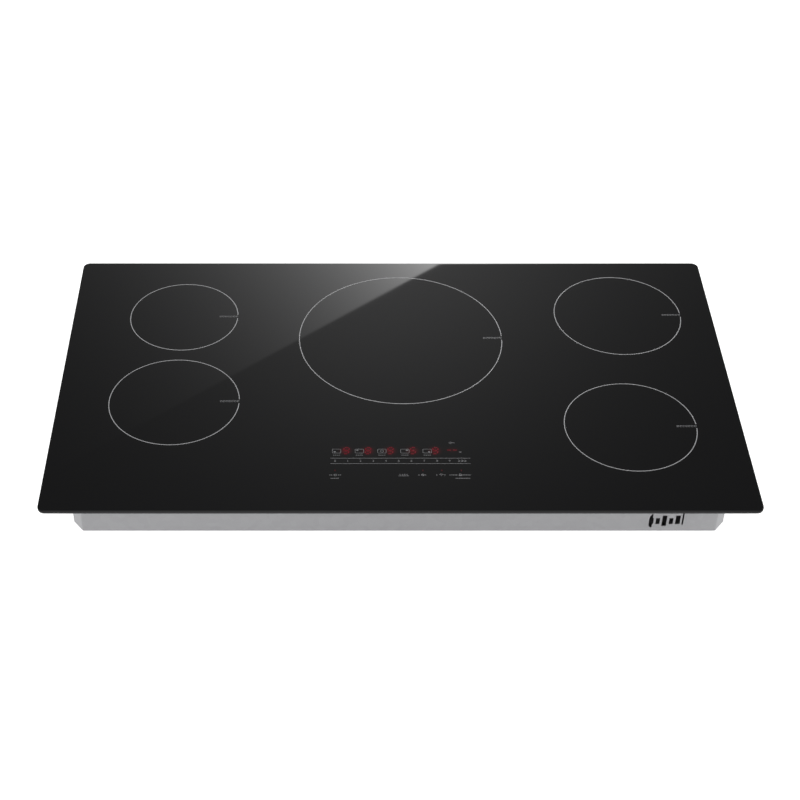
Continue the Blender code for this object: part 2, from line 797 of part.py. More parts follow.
def heat_sink(side):
    place = Matrix.Identity(4) if side == "right" else HALF_TURN
    left, right = SINK_X
    pitch = (right - left - FIN_THICK) / (SINK_FINS - 1)
    outline = [(left, SINK_BASE[0]), (right, SINK_BASE[0])]
    for i in reversed(range(SINK_FINS)):
        x = left + i * pitch
        outline += [
            (x + FIN_THICK, SINK_BASE[1]), (x + FIN_THICK, SINK_TOP), (x, SINK_TOP), (x, SINK_BASE[1]),
        ]  # fmt: skip
    outline = outline[:2] + outline[3:-1]  # the outer fins stand flush with the base
    put(f"heat_sink_{side}", prism_along_y(outline, *SINK_Y), aluminium(), place)


def volute_outline(inset, past):
    """Plan of a blower's casing about its axis. past is how far the outlet runs beyond its plane."""
    count = (360 + VOLUTE_START) // VOLUTE_STEP
    outline = []
    for i in range(count + 1):
        angle = math.radians(VOLUTE_START - i * VOLUTE_STEP)
        radius = VOLUTE_SMALL + (VOLUTE_LARGE - VOLUTE_SMALL) * i / count - inset
        outline.append((radius * math.cos(angle), radius * math.sin(angle)))
    tongue = VOLUTE_SMALL * math.cos(math.radians(VOLUTE_START)) + inset
    outlet = -VOLUTE_OUTLET - past
    return [*outline, (VOLUTE_LARGE - inset, outlet), (tongue, outlet)]


def blower(side):
    """Casing, motor and wheel. The wheel turns about the casing's upright axis."""
    half = Matrix.Identity(4) if side == "right" else HALF_TURN
    place = half @ Matrix.Translation((*FAN_CENTRE, 0))
    shape = prism(volute_outline(0, 0), FLOOR, VOLUTE_TOP)
    casing = put(f"fan_housing_{side}", shape, black_plastic(), place)
    inside = prism(volute_outline(VOLUTE_WALL, 0.004), FLOOR + VOLUTE_WALL, VOLUTE_TOP - VOLUTE_WALL)
    cut(casing, inside, place)
    cut(casing, post((0, 0), INLET_RADIUS, FLOOR - 0.002, FLOOR + VOLUTE_WALL + 0.002, sides=24), place)

    ceiling = VOLUTE_TOP - VOLUTE_WALL - GAP
    bore, stator, flange = 0.0019, 0.0115, 0.020
    profile = [
        (0, 0.026), (bore, 0.026), (bore, 0.011), (stator, 0.011), (stator, 0.030),
        (flange, 0.030), (flange, ceiling), (0, ceiling),
    ]  # fmt: skip
    put(f"fan_motor_{side}", turned(profile, 16), zinc_steel(), place, smooth=True)

    shaft, cup_inner, cup = 0.0015, 0.0135, 0.0150
    disc_low, disc_high = 0.0240, 0.0255
    profile = [
        (0, 0.008), (cup, 0.008), (cup, disc_low), (WHEEL_RADIUS, disc_low), (WHEEL_RADIUS, disc_high),
        (cup_inner, disc_high), (cup_inner, 0.0095), (shaft, 0.0095), (shaft, 0.0245), (0, 0.0245),
    ]  # fmt: skip
    wheel = put(f"fan_impeller_{side}", turned(profile, 20), black_plastic(), place)
    ring = [
        (BLADE_INNER, 0.0042), (WHEEL_RADIUS, 0.0042), (WHEEL_RADIUS, 0.0060), (BLADE_INNER, 0.0060),
    ]  # fmt: skip
    join(wheel, wheel_blades(disc_low), place)
    join(wheel, turned(ring, 20), place)


def wheel_blades(disc_low):
    blades = bmesh.new()
    middle = (BLADE_INNER + WHEEL_RADIUS) / 2
    half_chord = 0.0046
    slant = Matrix.Rotation(math.radians(BLADE_SLANT), 4, "Z")
    for i in range(WHEEL_BLADES):
        blade = block((-half_chord, -0.0005, 0.0050), (half_chord, 0.0005, disc_low + 0.0005))
        turn = Matrix.Rotation(FULL_TURN * (i + 0.25) / WHEEL_BLADES, 4, "Z")
        blade.transform(turn @ Matrix.Translation((middle, 0, 0)) @ slant)
        add(blades, blade)
    return blades


def filter_board():
    low, high = FILTER_CORNERS
    parts = [
        (-0.070, 0.105, -0.040, 0.125, 0.022),  # suppression capacitors
        (-0.070, 0.160, -0.040, 0.180, 0.022),
        (0.030, 0.100, 0.058, 0.116, 0.018),  # relays
        (0.030, 0.170, 0.058, 0.186, 0.018),
        (0.118, 0.130, 0.131, 0.170, 0.012),  # mains terminals
        (-0.122, 0.120, -0.110, 0.170, 0.010),  # outlet to the left module
    ]
    posts = [((-0.004, 0.120), 0.018, 0.024), ((-0.004, 0.168), 0.018, 0.024), ((0.088, 0.145), 0.012, 0.028)]
    board("filter_board", low, high, parts, posts)


# Touch control


def touch_control():
    """The carrier under the control area of the glass, and the board with displays and touch keys."""
    x, y = TOUCH_CENTRE
    half_width, half_depth = (size / 2 for size in TOUCH_CASE)
    wall = TOUCH_CASE_WALL
    high = GLASS_UNDER - GAP
    case = put(
        "touch_carrier",
        block((x - half_width, y - half_depth, TOUCH_CASE_LOW), (x + half_width, y + half_depth, high)),
        white_plastic(),
    )
    hollow = [
        (
            (x - half_width + wall, y - half_depth + wall, TOUCH_CASE_LOW + wall),
            (x + half_width - wall, y + half_depth - wall, high + wall),
        ),
    ]
    cut(case, blocks(hollow))
    notch = block(
        (x + half_width - 2 * wall, RIBBON_Y - 0.009, TOUCH_BOARD_LOW),
        (x + half_width + wall, RIBBON_Y + 0.009, high + wall),
    )
    cut(case, notch)
    supports = bmesh.new()
    for sx in (-0.090, 0.090):
        for sy in (-0.034, 0.034):
            spot = (x + sx, y + sy)
            add(supports, post(spot, 0.005, FLOOR, TOUCH_CASE_LOW + 0.001, sides=10))
            spot = (x + sx, y + sy * 0.9)
            add(supports, post(spot, 0.003, TOUCH_CASE_LOW + 0.0015, TOUCH_BOARD_LOW - GAP, sides=8))
    join(case, supports)

    half_width, half_depth = (size / 2 for size in TOUCH_BOARD)
    top = TOUCH_BOARD_LOW + BOARD_THICK
    panel = put(
        "touch_board",
        block((x - half_width, y - half_depth, TOUCH_BOARD_LOW), (x + half_width, y + half_depth, top)),
        board_green(),
    )
    digit_y, lens_top, sunk = -0.154, GLASS_UNDER - 0.0008, top - 0.0005
    parts = []
    for i in range(5):
        digit_x = x - 0.072 + i * 0.030
        parts.append(((digit_x - 0.005, digit_y - 0.007, sunk), (digit_x + 0.005, digit_y + 0.007, lens_top)))
    parts.append(((x + 0.061, digit_y - 0.007, sunk), (x + 0.079, digit_y + 0.007, lens_top)))
    parts.append(((x - 0.090, -0.180, sunk), (x + 0.090, -0.169, lens_top)))  # light guide of the slider
    parts.append(((x - 0.090, -0.206, sunk), (x + 0.090, -0.190, lens_top)))  # light guide of the keys
    parts.append(((0.094, RIBBON_Y - 0.008, sunk), (0.106, RIBBON_Y + 0.008, top + 0.005)))
    join(panel, blocks(parts))


def ribbon_cable():
    """Flat cable from the touch board down to the right-hand inverter board."""
    end = BOARD_TOP + 0.0068
    start = TOUCH_BOARD_LOW + BOARD_THICK + 0.0025
    route = [
        (0.1064, start), (0.1220, start), (0.1400, start - 0.004), (0.1500, 0.036), (0.1540, 0.023),
        (0.1620, end + 0.0005), (0.1720, end), (0.1801, end),
    ]  # fmt: skip
    line = smooth_line([(x, RIBBON_Y, z) for x, z in route], 2)
    rings = []
    for i, point in enumerate(line):
        along = (line[min(i + 1, len(line) - 1)] - line[max(i - 1, 0)]).normalized()
        up = along.cross(Vector((0, 1, 0))).normalized() * (RIBBON_THICK / 2)
        side = Vector((0, RIBBON_WIDTH / 2, 0))
        rings.append([point + up + side, point + up - side, point - up - side, point - up + side])
    put("ribbon_cable", loft(rings), ribbon_grey())


def build():
    clear_scene()
    glass_top()
    edge_gasket()
    bottom_pan()
    cable_entry()
    terminal_block()
    case_screws()
    for side in ("left", "right"):
        glass_rail(side)
        retaining_bracket(side)
        inverter_board(side)
        heat_sink(side)
        blower(side)
    for values in COILS:
        coil(*values)
    for values in PLATES:
        coil_plate(*values)
    filter_board()
    touch_control()
    ribbon_cable()


build()
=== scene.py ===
# Looks of a 36 inch induction cooktop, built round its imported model. Metres, +Z up, +Y to the back.
import math

import bmesh
import bpy
from mathutils import Matrix, Vector


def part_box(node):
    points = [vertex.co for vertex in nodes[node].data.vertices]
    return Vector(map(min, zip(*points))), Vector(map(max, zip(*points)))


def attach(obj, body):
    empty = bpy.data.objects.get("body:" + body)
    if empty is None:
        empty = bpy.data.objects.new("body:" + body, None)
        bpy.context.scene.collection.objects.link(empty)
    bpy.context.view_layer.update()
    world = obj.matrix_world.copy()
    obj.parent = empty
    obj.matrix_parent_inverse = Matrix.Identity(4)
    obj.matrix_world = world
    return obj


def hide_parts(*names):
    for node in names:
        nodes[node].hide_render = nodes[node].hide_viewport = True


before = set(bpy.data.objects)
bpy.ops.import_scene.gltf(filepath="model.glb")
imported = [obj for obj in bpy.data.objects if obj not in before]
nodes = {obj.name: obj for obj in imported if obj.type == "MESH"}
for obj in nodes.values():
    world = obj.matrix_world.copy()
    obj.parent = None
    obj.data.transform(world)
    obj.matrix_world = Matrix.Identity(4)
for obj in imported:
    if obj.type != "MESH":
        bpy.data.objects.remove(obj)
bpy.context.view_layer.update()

body = "cooktop"
fullTurn = 2 * math.pi
halfTurn = Matrix.Rotation(math.pi, 4, "Z")


# Tools


def linear(colour):
    # "#rrggbb" in sRGB to linear RGBA
    values = [int(colour[i : i + 2], 16) / 255 for i in (1, 3, 5)]
    values = [v / 12.92 if v <= 0.04045 else ((v + 0.055) / 1.055) ** 2.4 for v in values]
    return (*values, 1.0)


def smoothBy(mesh, angle):
    mesh.shade_smooth()
    mesh.set_sharp_from_angle(angle=math.radians(angle))


def addNode(tree, kind, inputs=None, **settings):
    node = tree.nodes.new(kind)
    for key, value in settings.items():
        setattr(node, key, value)
    for key, value in (inputs or {}).items():
        if isinstance(value, bpy.types.NodeSocket):
            tree.links.new(value, node.inputs[key])
        else:
            node.inputs[key].default_value = value
    return node


def startMaterial(name, **surface):
    # returns the material, its tree, its shader and the Object coordinates
    made = bpy.data.materials.new(name)
    made.use_nodes = True
    tree = made.node_tree
    shader = tree.nodes["Principled BSDF"]
    for key, value in surface.items():
        shader.inputs[key.replace("_", " ")].default_value = value
    return made, tree, shader, addNode(tree, "ShaderNodeTexCoord").outputs["Object"]


def mathNode(tree, operation, *values):
    return addNode(tree, "ShaderNodeMath", dict(enumerate(values)), operation=operation).outputs[0]


def ramp(tree, factor, stops):
    # stops are (position, colour) pairs
    made = addNode(tree, "ShaderNodeValToRGB", {"Fac": factor})
    elements = made.color_ramp.elements
    while len(elements) < len(stops):
        elements.new(0.5)
    for element, (position, colour) in zip(elements, stops):
        element.position = position
        element.color = colour if isinstance(colour, tuple) else linear(colour)
    return made.outputs["Color"]


def spread(tree, factor, low, high):
    # a factor of 0 to 1 to a range
    made = addNode(tree, "ShaderNodeMapRange", {"Value": factor, "To Min": low, "To Max": high})
    return made.outputs["Result"]


def drive(tree, shader, **sockets):
    for key, value in sockets.items():
        tree.links.new(value, shader.inputs[key.replace("_", " ")])


def bump(tree, shader, height, depth):
    made = addNode(tree, "ShaderNodeBump", {"Height": height, "Distance": depth, "Strength": 1.0})
    drive(tree, shader, Normal=made.outputs["Normal"])


def finish(name, shape, material, smooth=35):
    # a bmesh to an object of the cooktop
    bmesh.ops.remove_doubles(shape, verts=shape.verts, dist=1e-7)
    bmesh.ops.recalc_face_normals(shape, faces=shape.faces)
    mesh = bpy.data.meshes.new(name)
    shape.to_mesh(mesh)
    shape.free()
    mesh.materials.append(material)
    if smooth:
        smoothBy(mesh, smooth)
    piece = bpy.data.objects.new(name, mesh)
    bpy.context.scene.collection.objects.link(piece)
    return piece


def fit(piece, slot, *replaced, on=body):
    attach(piece, on)
    if replaced:
        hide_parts(*replaced)
    return piece


def loft(rings, shape=None):
    # a closed shell through rings of points, capped at both ends
    shape = shape or bmesh.new()
    rows = [[shape.verts.new(point) for point in ring] for ring in rings]
    for low, high in zip(rows, rows[1:]):
        for i in range(len(low)):
            j = (i + 1) % len(low)
            shape.faces.new((low[i], low[j], high[j], high[i]))
    shape.faces.new(rows[0][::-1])
    shape.faces.new(rows[-1])
    return shape


def closedLoft(rings, shape=None):
    # the same with the last ring joined to the first, for a thin wall
    shape = shape or bmesh.new()
    rows = [[shape.verts.new(point) for point in ring] for ring in rings]
    for low, high in zip(rows, rows[1:] + rows[:1]):
        for i in range(len(low)):
            j = (i + 1) % len(low)
            shape.faces.new((low[i], low[j], high[j], high[i]))
    return shape


def slab(outline, low, high, shape=None):
    return loft([[(x, y, z) for x, y in outline] for z in (low, high)], shape)


def rectangle(left, low, right, high):
    return [(left, low), (right, low), (right, high), (left, high)]


def arc(centre, radius, start, end, steps):
    angles = [math.radians(start + (end - start) * i / steps) for i in range(steps + 1)]
    return [(centre[0] + radius * math.cos(a), centre[1] + radius * math.sin(a)) for a in angles]


def strip(points, width, low, high, shape, closed=False):
    # a flat stroke of one width along points in X and Y
    points = [Vector(point) for point in points]
    count = len(points)
    left, right = [], []
    for i, point in enumerate(points):
        before = points[i - 1] if i or closed else point
        after = points[(i + 1) % count] if i < count - 1 or closed else point
        into = (point - before).normalized() if before != point else (after - point).normalized()
        out = (after - point).normalized() if after != point else into
        along = (into + out).normalized()
        across = Vector((-along.y, along.x)) * (width / 2 / max(along.dot(out), 0.4))
        left.append(point + across)
        right.append(point - across)
    rings = [[(*a, low), (*b, low), (*b, high), (*a, high)] for a, b in zip(left, right)]
    return closedLoft(rings, shape) if closed else loft(rings, shape)


def filleted(points, radius, steps, closed=True):
    # rounds the corners of an outline, each with its own radius or all with one
    made = []
    count = len(points)
    for i, point in enumerate(points):
        if not closed and i in (0, count - 1):
            made.append(tuple(point))
            continue
        size = radius[i] if isinstance(radius, (list, tuple)) else radius
        here = Vector(point)
        toward = (Vector(points[i - 1]) - here).normalized()
        onward = (Vector(points[(i + 1) % count]) - here).normalized()
        half = math.acos(max(-1, min(1, toward.dot(onward)))) / 2
        if size <= 0 or half > math.radians(89):
            made.append(tuple(point))
            continue
        reach = size / math.tan(half)
        start, end = here + toward * reach, here + onward * reach
        centre = here + (toward + onward).normalized() * (size / math.sin(half))
        a, b = start - centre, end - centre
        sweep = math.atan2(a.cross(b), a.dot(b))
        for k in range(steps + 1):
            turn = Matrix.Rotation(sweep * k / steps, 2)
            made.append(tuple(centre + turn @ a))
    return made


# Stage: a pale floor, soft light, and cards that only a reflection sees


cameraView = {
    "place": (-0.0817, -1.8164, 1.5759),
    "tilt": 49.449,
    "lens": 75.87,
    "shift": 0.0788,
}

studio = {
    "sky": 0.62,
    "reflectedSky": 0.10,
    "reflectedTop": 0.75,
    "frontSky": 0.40,
    "floorGlow": 0.62,
    "floorColour": "#f2f2f2",
    "sideLight": 40.0,
    "topLight": 14.0,
}

# The window that the glass mirrors: its plane stands behind the cooktop, and its light fades from one corner
window = {
    "y": 2.0,
    "glow": 10.21,
    "glowMiddle": (0.0393, 0.9027 + 0.065),
    "glowSpread": (0.2418, 0.3507),
    "glowCore": 2.805,
    "pane": 2.40,
    "paneCorner": (0.066, 1.25 + 0.065),
    "paneFade": (0.223, 0.402),
    "edgePoint": (0.2053, 1.2541 + 0.065),
    "edgeSlope": -0.68,
    "edgeSoftness": 0.004,
}


def placeCamera():
    camera = bpy.data.cameras.new("studioCamera")
    camera.lens = cameraView["lens"]
    camera.shift_x = cameraView["shift"]
    camera.clip_end = 200
    holder = bpy.data.objects.new("studioCamera", camera)
    holder.location = cameraView["place"]
    holder.rotation_euler = (math.radians(cameraView["tilt"]), 0, 0)
    bpy.context.scene.collection.objects.link(holder)
    bpy.context.scene.camera = holder


def hideFrom(thing, *rays):
    for ray in rays:
        setattr(thing, "visible_" + ray, False)


def paleFloor():
    made, tree, shader, _ = startMaterial("pale floor", Roughness=0.9)
    shader.inputs["Base Color"].default_value = linear(studio["floorColour"])
    shader.inputs["Specular IOR Level"].default_value = 0.0
    shader.inputs["Emission Color"].default_value = (1, 1, 1, 1)
    shader.inputs["Emission Strength"].default_value = studio["floorGlow"]
    below = addNode(tree, "ShaderNodeNewGeometry").outputs["Backfacing"]
    clear = addNode(tree, "ShaderNodeBsdfTransparent").outputs[0]
    mix = addNode(tree, "ShaderNodeMixShader", {0: below, 1: shader.outputs[0], 2: clear})
    tree.links.new(mix.outputs[0], tree.nodes["Material Output"].inputs["Surface"])
    half = 20
    shape = bmesh.new()
    shape.faces.new(
        [shape.verts.new((x * half, y * half, -0.0002)) for x, y in ((-1, -1), (1, -1), (1, 1), (-1, 1))]
    )
    mesh = bpy.data.meshes.new("floor")
    shape.to_mesh(mesh)
    shape.free()
    mesh.materials.append(made)
    floor = bpy.data.objects.new("floor", mesh)
    hideFrom(floor, "glossy")
    bpy.context.scene.collection.objects.link(floor)


def softSky():
    world = bpy.data.worlds.new("softSky")
    bpy.context.scene.world = world
    world.use_nodes = True
    tree = world.node_tree
    background = tree.nodes["Background"]
    height = addNode(
        tree, "ShaderNodeSeparateXYZ", {0: addNode(tree, "ShaderNodeTexCoord").outputs["Generated"]},
    )
    dark = studio["reflectedSky"]
    top = studio["reflectedTop"]
    mirrored = ramp(tree, mathNode(tree, "MULTIPLY_ADD", height.outputs["Z"], 0.5, 0.5), [
        (0.24, (0.9, 0.9, 0.9, 1)), (0.32, (dark, dark, dark, 1)), (0.90, (dark, dark, dark, 1)),
        (0.96, (top, top, top, 1)),
    ])
    behind = addNode(
        tree, "ShaderNodeMapRange", {
            "Value": height.outputs["Y"], "From Min": -0.5, "From Max": 0.15, "To Min": 1.0, "To Max": 0.0,
        },
    ).outputs["Result"]
    mirrored = addNode(
        tree, "ShaderNodeMix", {"Factor": behind, 6: mirrored, 7: (studio["frontSky"],) * 3 + (1,)},
        data_type="RGBA", blend_type="LIGHTEN",
    ).outputs[2]
    path = addNode(tree, "ShaderNodeLightPath")
    level = studio["sky"]
    seen = addNode(
        tree, "ShaderNodeMix", {
            "Factor": path.outputs["Is Camera Ray"], 6: (level,) * 3 + (1,), 7: (1, 1, 1, 1),
        },
        data_type="RGBA",
    )
    mix = addNode(
        tree, "ShaderNodeMix", {"Factor": path.outputs["Is Glossy Ray"], 6: seen.outputs[2], 7: mirrored},
        data_type="RGBA",
    )
    tree.links.new(mix.outputs[2], background.inputs["Color"])


def softLight(name, place, aim, size, power):
    light = bpy.data.lights.new(name, "AREA")
    light.shape = "RECTANGLE"
    light.size, light.size_y = size
    light.energy = power
    holder = bpy.data.objects.new(name, light)
    holder.location = place
    holder.rotation_euler = (Vector(aim) - Vector(place)).to_track_quat("-Z", "Y").to_euler()
    hideFrom(holder, "camera", "glossy")
    bpy.context.scene.collection.objects.link(holder)


def mirroredWindow():
    # light for the glass to mirror: a broad glow, and a brighter pane with one slanting edge
    made = bpy.data.materials.new("window light")
    made.use_nodes = True
    tree = made.node_tree
    tree.nodes.remove(tree.nodes["Principled BSDF"])
    place = addNode(tree, "ShaderNodeSeparateXYZ", {0: addNode(tree, "ShaderNodeTexCoord").outputs["Object"]})
    x, z = place.outputs["X"], place.outputs["Z"]

    def fromMiddle(value, middle, size):
        return mathNode(tree, "DIVIDE", mathNode(tree, "SUBTRACT", value, middle), size)

    across = fromMiddle(x, window["glowMiddle"][0], window["glowSpread"][0])
    up = fromMiddle(z, window["glowMiddle"][1], window["glowSpread"][1])
    square = mathNode(tree, "MULTIPLY_ADD", up, up, window["glowCore"] ** 2)
    far = mathNode(tree, "SQRT", mathNode(tree, "MULTIPLY_ADD", across, across, square))
    glow = mathNode(
        tree, "MULTIPLY", mathNode(tree, "EXPONENT", mathNode(tree, "MULTIPLY", far, -1)), window["glow"],
    )
    across = fromMiddle(x, window["paneCorner"][0], window["paneFade"][0])
    up = fromMiddle(z, window["paneCorner"][1], window["paneFade"][1])
    pane = mathNode(tree, "EXPONENT", mathNode(tree, "SUBTRACT", across, up))
    pane = mathNode(tree, "MULTIPLY", mathNode(tree, "MINIMUM", pane, 2.3), window["pane"])
    edgeX, edgeZ = window["edgePoint"]
    line = mathNode(tree, "MULTIPLY_ADD", mathNode(tree, "SUBTRACT", x, edgeX), window["edgeSlope"], edgeZ)
    soft = window["edgeSoftness"]
    side = addNode(
        tree, "ShaderNodeMapRange", {
            "Value": mathNode(tree, "SUBTRACT", line, z), "From Min": -soft, "From Max": soft,
        }
    )
    pane = mathNode(tree, "MULTIPLY", pane, side.outputs["Result"])
    light = addNode(tree, "ShaderNodeEmission", {"Strength": mathNode(tree, "ADD", glow, pane)})
    both = addNode(
        tree, "ShaderNodeAddShader", {
            0: light.outputs[0], 1: addNode(tree, "ShaderNodeBsdfTransparent").outputs[0],
        }
    )
    tree.links.new(both.outputs[0], tree.nodes["Material Output"].inputs["Surface"])
    mesh = bpy.data.meshes.new("mirroredWindow")
    y = window["y"]
    mesh.from_pydata([(-4, y, 0.5), (4, y, 0.5), (4, y, 5), (-4, y, 5)], [], [(0, 1, 2, 3)])
    mesh.materials.append(made)
    card = bpy.data.objects.new("mirroredWindow", mesh)
    hideFrom(card, "camera", "diffuse", "transmission", "volume_scatter", "shadow")
    bpy.context.scene.collection.objects.link(card)


placeCamera()
paleFloor()
softSky()
mirroredWindow()
softLight("leftSoftbox", (-2.6, -0.8, 0.7), (0, 0, 0), (1.6, 1.2), studio["sideLight"])
softLight("rightSoftbox", (2.6, -0.8, 0.7), (0, 0, 0), (1.6, 1.2), studio["sideLight"])
softLight("topSoftbox", (0, 0, 2.8), (0, 0, 0), (2.4, 2.4), studio["topLight"])
bpy.context.scene.view_settings.view_transform = "Standard"
print("stage ready")


# Materials


def blackGlassCeramic():
    # Lithium-aluminosilicate glass-ceramic, rolled and polished: near black, mirror gloss,
    # light films of handling.
    # A painted red glow is put round the lit digits and dashes, as emission of the glass itself.
    made, tree, shader, place = startMaterial("black glass-ceramic", IOR=1.5)
    shader.inputs["Base Color"].default_value = linear("#0b0b0c")
    film = addNode(
        tree, "ShaderNodeTexNoise", {"Vector": place, "Scale": 9.0, "Detail": 5.0, "Roughness": 0.65},
    )
    drive(tree, shader, Roughness=spread(tree, film.outputs["Fac"], 0.012, 0.035))
    apart = addNode(tree, "ShaderNodeSeparateXYZ", {0: place})
    x, y = apart.outputs["X"], apart.outputs["Y"]

    def spill(rise, middle, reach):
        # a soft spot of painted red glow, from the offset along X that is given
        up = mathNode(tree, "DIVIDE", mathNode(tree, "SUBTRACT", y, middle[1]), reach)
        across = mathNode(tree, "DIVIDE", rise, reach)
        square = mathNode(tree, "MULTIPLY_ADD", up, up, mathNode(tree, "MULTIPLY", across, across))
        return mathNode(tree, "EXPONENT", mathNode(tree, "MULTIPLY", square, -1))

    pitch, first, last = 0.02966, -0.0701, 0.0484
    nearest = mathNode(tree, "ROUND", mathNode(tree, "DIVIDE", mathNode(tree, "SUBTRACT", x, first), pitch))
    nearest = mathNode(tree, "MINIMUM", mathNode(tree, "MAXIMUM", nearest, 0), round((last - first) / pitch))
    rise = mathNode(tree, "SUBTRACT", x, mathNode(tree, "MULTIPLY_ADD", nearest, pitch, first))
    digits = mathNode(tree, "MULTIPLY", spill(rise, (0, -0.1543), 0.0056), 0.092)
    dashes = spill(
        mathNode(tree, "MULTIPLY", mathNode(tree, "SUBTRACT", x, 0.072), 0.6), (0, -0.1531), 0.0040,
    )
    # painted glow: red emission on the glass's top face round the digits and the timer dashes
    glow = mathNode(tree, "MULTIPLY_ADD", dashes, 0.022, digits)
    top = mathNode(tree, "GREATER_THAN", apart.outputs["Z"], 0.0645)
    shader.inputs["Emission Color"].default_value = linear("#e0102c")
    drive(tree, shader, Emission_Strength=mathNode(tree, "MULTIPLY", glow, top))
    return made


def firedPrint(name, colour):
    # Ceramic ink screen-printed and fired: flat grey, a little uneven where the mesh left dots of 0.1 mm
    made, tree, shader, place = startMaterial(name, Roughness=0.45)
    dots = addNode(tree, "ShaderNodeTexNoise", {"Vector": place, "Scale": 5000.0, "Detail": 1.0})
    drive(tree, shader, Base_Color=ramp(tree, dots.outputs["Fac"], [(0.25, colour[0]), (0.7, colour[1])]))
    return made


def ledRed():
    # Light-emitting segments seen through the dark glass, a little uneven along each bar
    made, tree, shader, place = startMaterial("red LED segment", Roughness=0.5)
    shader.inputs["Base Color"].default_value = linear("#1c0306")
    shader.inputs["Specular IOR Level"].default_value = 0.1
    cloud = addNode(tree, "ShaderNodeTexNoise", {"Vector": place, "Scale": 400.0}).outputs["Fac"]
    drive(tree, shader, Emission_Color=ramp(tree, cloud, [(0.3, "#c0062c"), (0.7, "#d80834")]))
    shader.inputs["Emission Strength"].default_value = 0.19
    return made


def coatedSteel():
    # Galvanised sheet with a clear passivation, 1 mm: soft grey, crystals of zinc 6 to 12 mm
    # across that barely show
    made, tree, shader, place = startMaterial("galvanised steel sheet", Metallic=0.35)
    crystals = addNode(tree, "ShaderNodeTexVoronoi", {"Vector": place, "Scale": 110.0, "Randomness": 1.0})
    fine = addNode(tree, "ShaderNodeTexNoise", {"Vector": place, "Scale": 700.0, "Detail": 4.0})
    grey = addNode(tree, "ShaderNodeSeparateColor", {0: crystals.outputs["Color"]}).outputs["Red"]
    blend = mathNode(tree, "MULTIPLY_ADD", fine.outputs["Fac"], 0.35, mathNode(tree, "MULTIPLY", grey, 0.65))
    drive(tree, shader, Base_Color=ramp(tree, blend, [(0.0, "#99999b"), (1.0, "#a3a3a5")]))
    drive(tree, shader, Roughness=spread(tree, grey, 0.44, 0.56))
    bump(tree, shader, fine.outputs["Fac"], 0.00003)
    return made


glassFinish = blackGlassCeramic()
printFinish = firedPrint("fired grey print", ("#8c8c8e", "#a2a2a4"))
signFinish = firedPrint("fired mid grey print", ("#69696b", "#7c7c7e"))
panelPrintFinish = firedPrint("fired dark grey print", ("#58585a", "#6a6a6c"))
ledFinish = ledRed()
panFinish = coatedSteel()


# Glass


glass = {
    "corner": 0.010,
    "bevelRun": 0.0015,
    "bevelDrop": 0.0010,
    "arris": 0.0004,
    "sunk": 0.00005,  # how far the sheet's top stays under the printed marks
}


def roundedOutline(width, depth, radius, steps):
    x, y = width / 2, depth / 2
    return filleted([(x, y), (-x, y), (-x, -y), (x, -y)], radius, steps)


def glassSheet():
    # the front edge is bevelled, and the other edges have a rounded arris
    low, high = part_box("glass_top")
    width, depth = high.x - low.x, high.y - low.y
    top = high.z - glass["sunk"]
    arris, run, fall = glass["arris"], glass["bevelRun"], glass["bevelDrop"]
    steps = 5
    below = [
        (arris * (1 - math.sin(a)), low.z + arris * (1 - math.cos(a))) for a in (0, 0.5, 1.0, math.pi / 2)
    ]
    levels = [(inset, inset, z) for inset, z in below]
    levels += [
        (0, 0, top - fall - 0.0003), (0.00005, 0, top - fall), (run * (1 - arris / fall), 0, top - arris),
    ]
    for k in range(1, steps + 1):
        turn = math.pi / 2 * k / steps
        rise = arris * math.sin(turn)
        levels.append((run * (1 - (arris - rise) / fall), arris * (1 - math.cos(turn)), top - arris + rise))
    levels.append((run + 0.002, arris + 0.002, top))
    rings = []
    for front, others, z in levels:
        outline = roundedOutline(width - 2 * others, depth - front - others, glass["corner"] - others, 14)
        rings.append([(x, y + (front - others) / 2, z) for x, y in outline])
    return fit(finish("glass_sheet", loft(rings), glassFinish, 25), "black_glass", "glass_top")


glassSheet()
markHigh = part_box("glass_top")[1].z - 0.00001
markLow = markHigh - 0.00011
print("glass ready")


# Printed marks


zoneRings = {
    "line": 0.0011,
    "zones": {
        "left_rear": (-0.3049, 0.1374, 0.0783),
        "left_front": (-0.3059, -0.0530, 0.0896),
        "centre": (0.0098, 0.0871, 0.1455),
        "right_rear": (0.3287, 0.1411, 0.0919),
        "right_front": (0.3157, -0.1050, 0.0892),
    },
    "gap": 0.0042,  # half the break in the ring, where its sign ends
    "sign": (0.0275, 0.0030),
    "signLine": 0.0006,
}


def markPiece(name, shape, material):
    return fit(finish(name, shape, material, 0), "black_glass")


def zoneRing(name, x, y, radius):
    # the ring is open at the right, round a row of small coil loops
    shape = bmesh.new()
    gap = math.degrees(math.asin(zoneRings["gap"] / radius))
    strip(arc((x, y), radius, gap, 360 - gap, 192), zoneRings["line"], markLow, markHigh, shape)
    markPiece(f"zone_mark_{name}", shape, printFinish)
    shape = bmesh.new()
    length, height = zoneRings["sign"]
    loops = 7
    pitch = length / loops
    for i in range(loops):
        middle = x + radius - length + (i + 0.5) * pitch + 0.0006
        side, tall = pitch * 0.36, height / 2
        loop = [
            (middle + side * math.cos(a), y + tall * math.sin(a))
            for a in (k * fullTurn / 12 for k in range(11))
        ]
        strip(loop, zoneRings["signLine"], markLow, markHigh, shape)
    markPiece(f"zone_sign_{name}", shape, signFinish)


for zoneName, zone in zoneRings["zones"].items():
    zoneRing(zoneName, *zone)


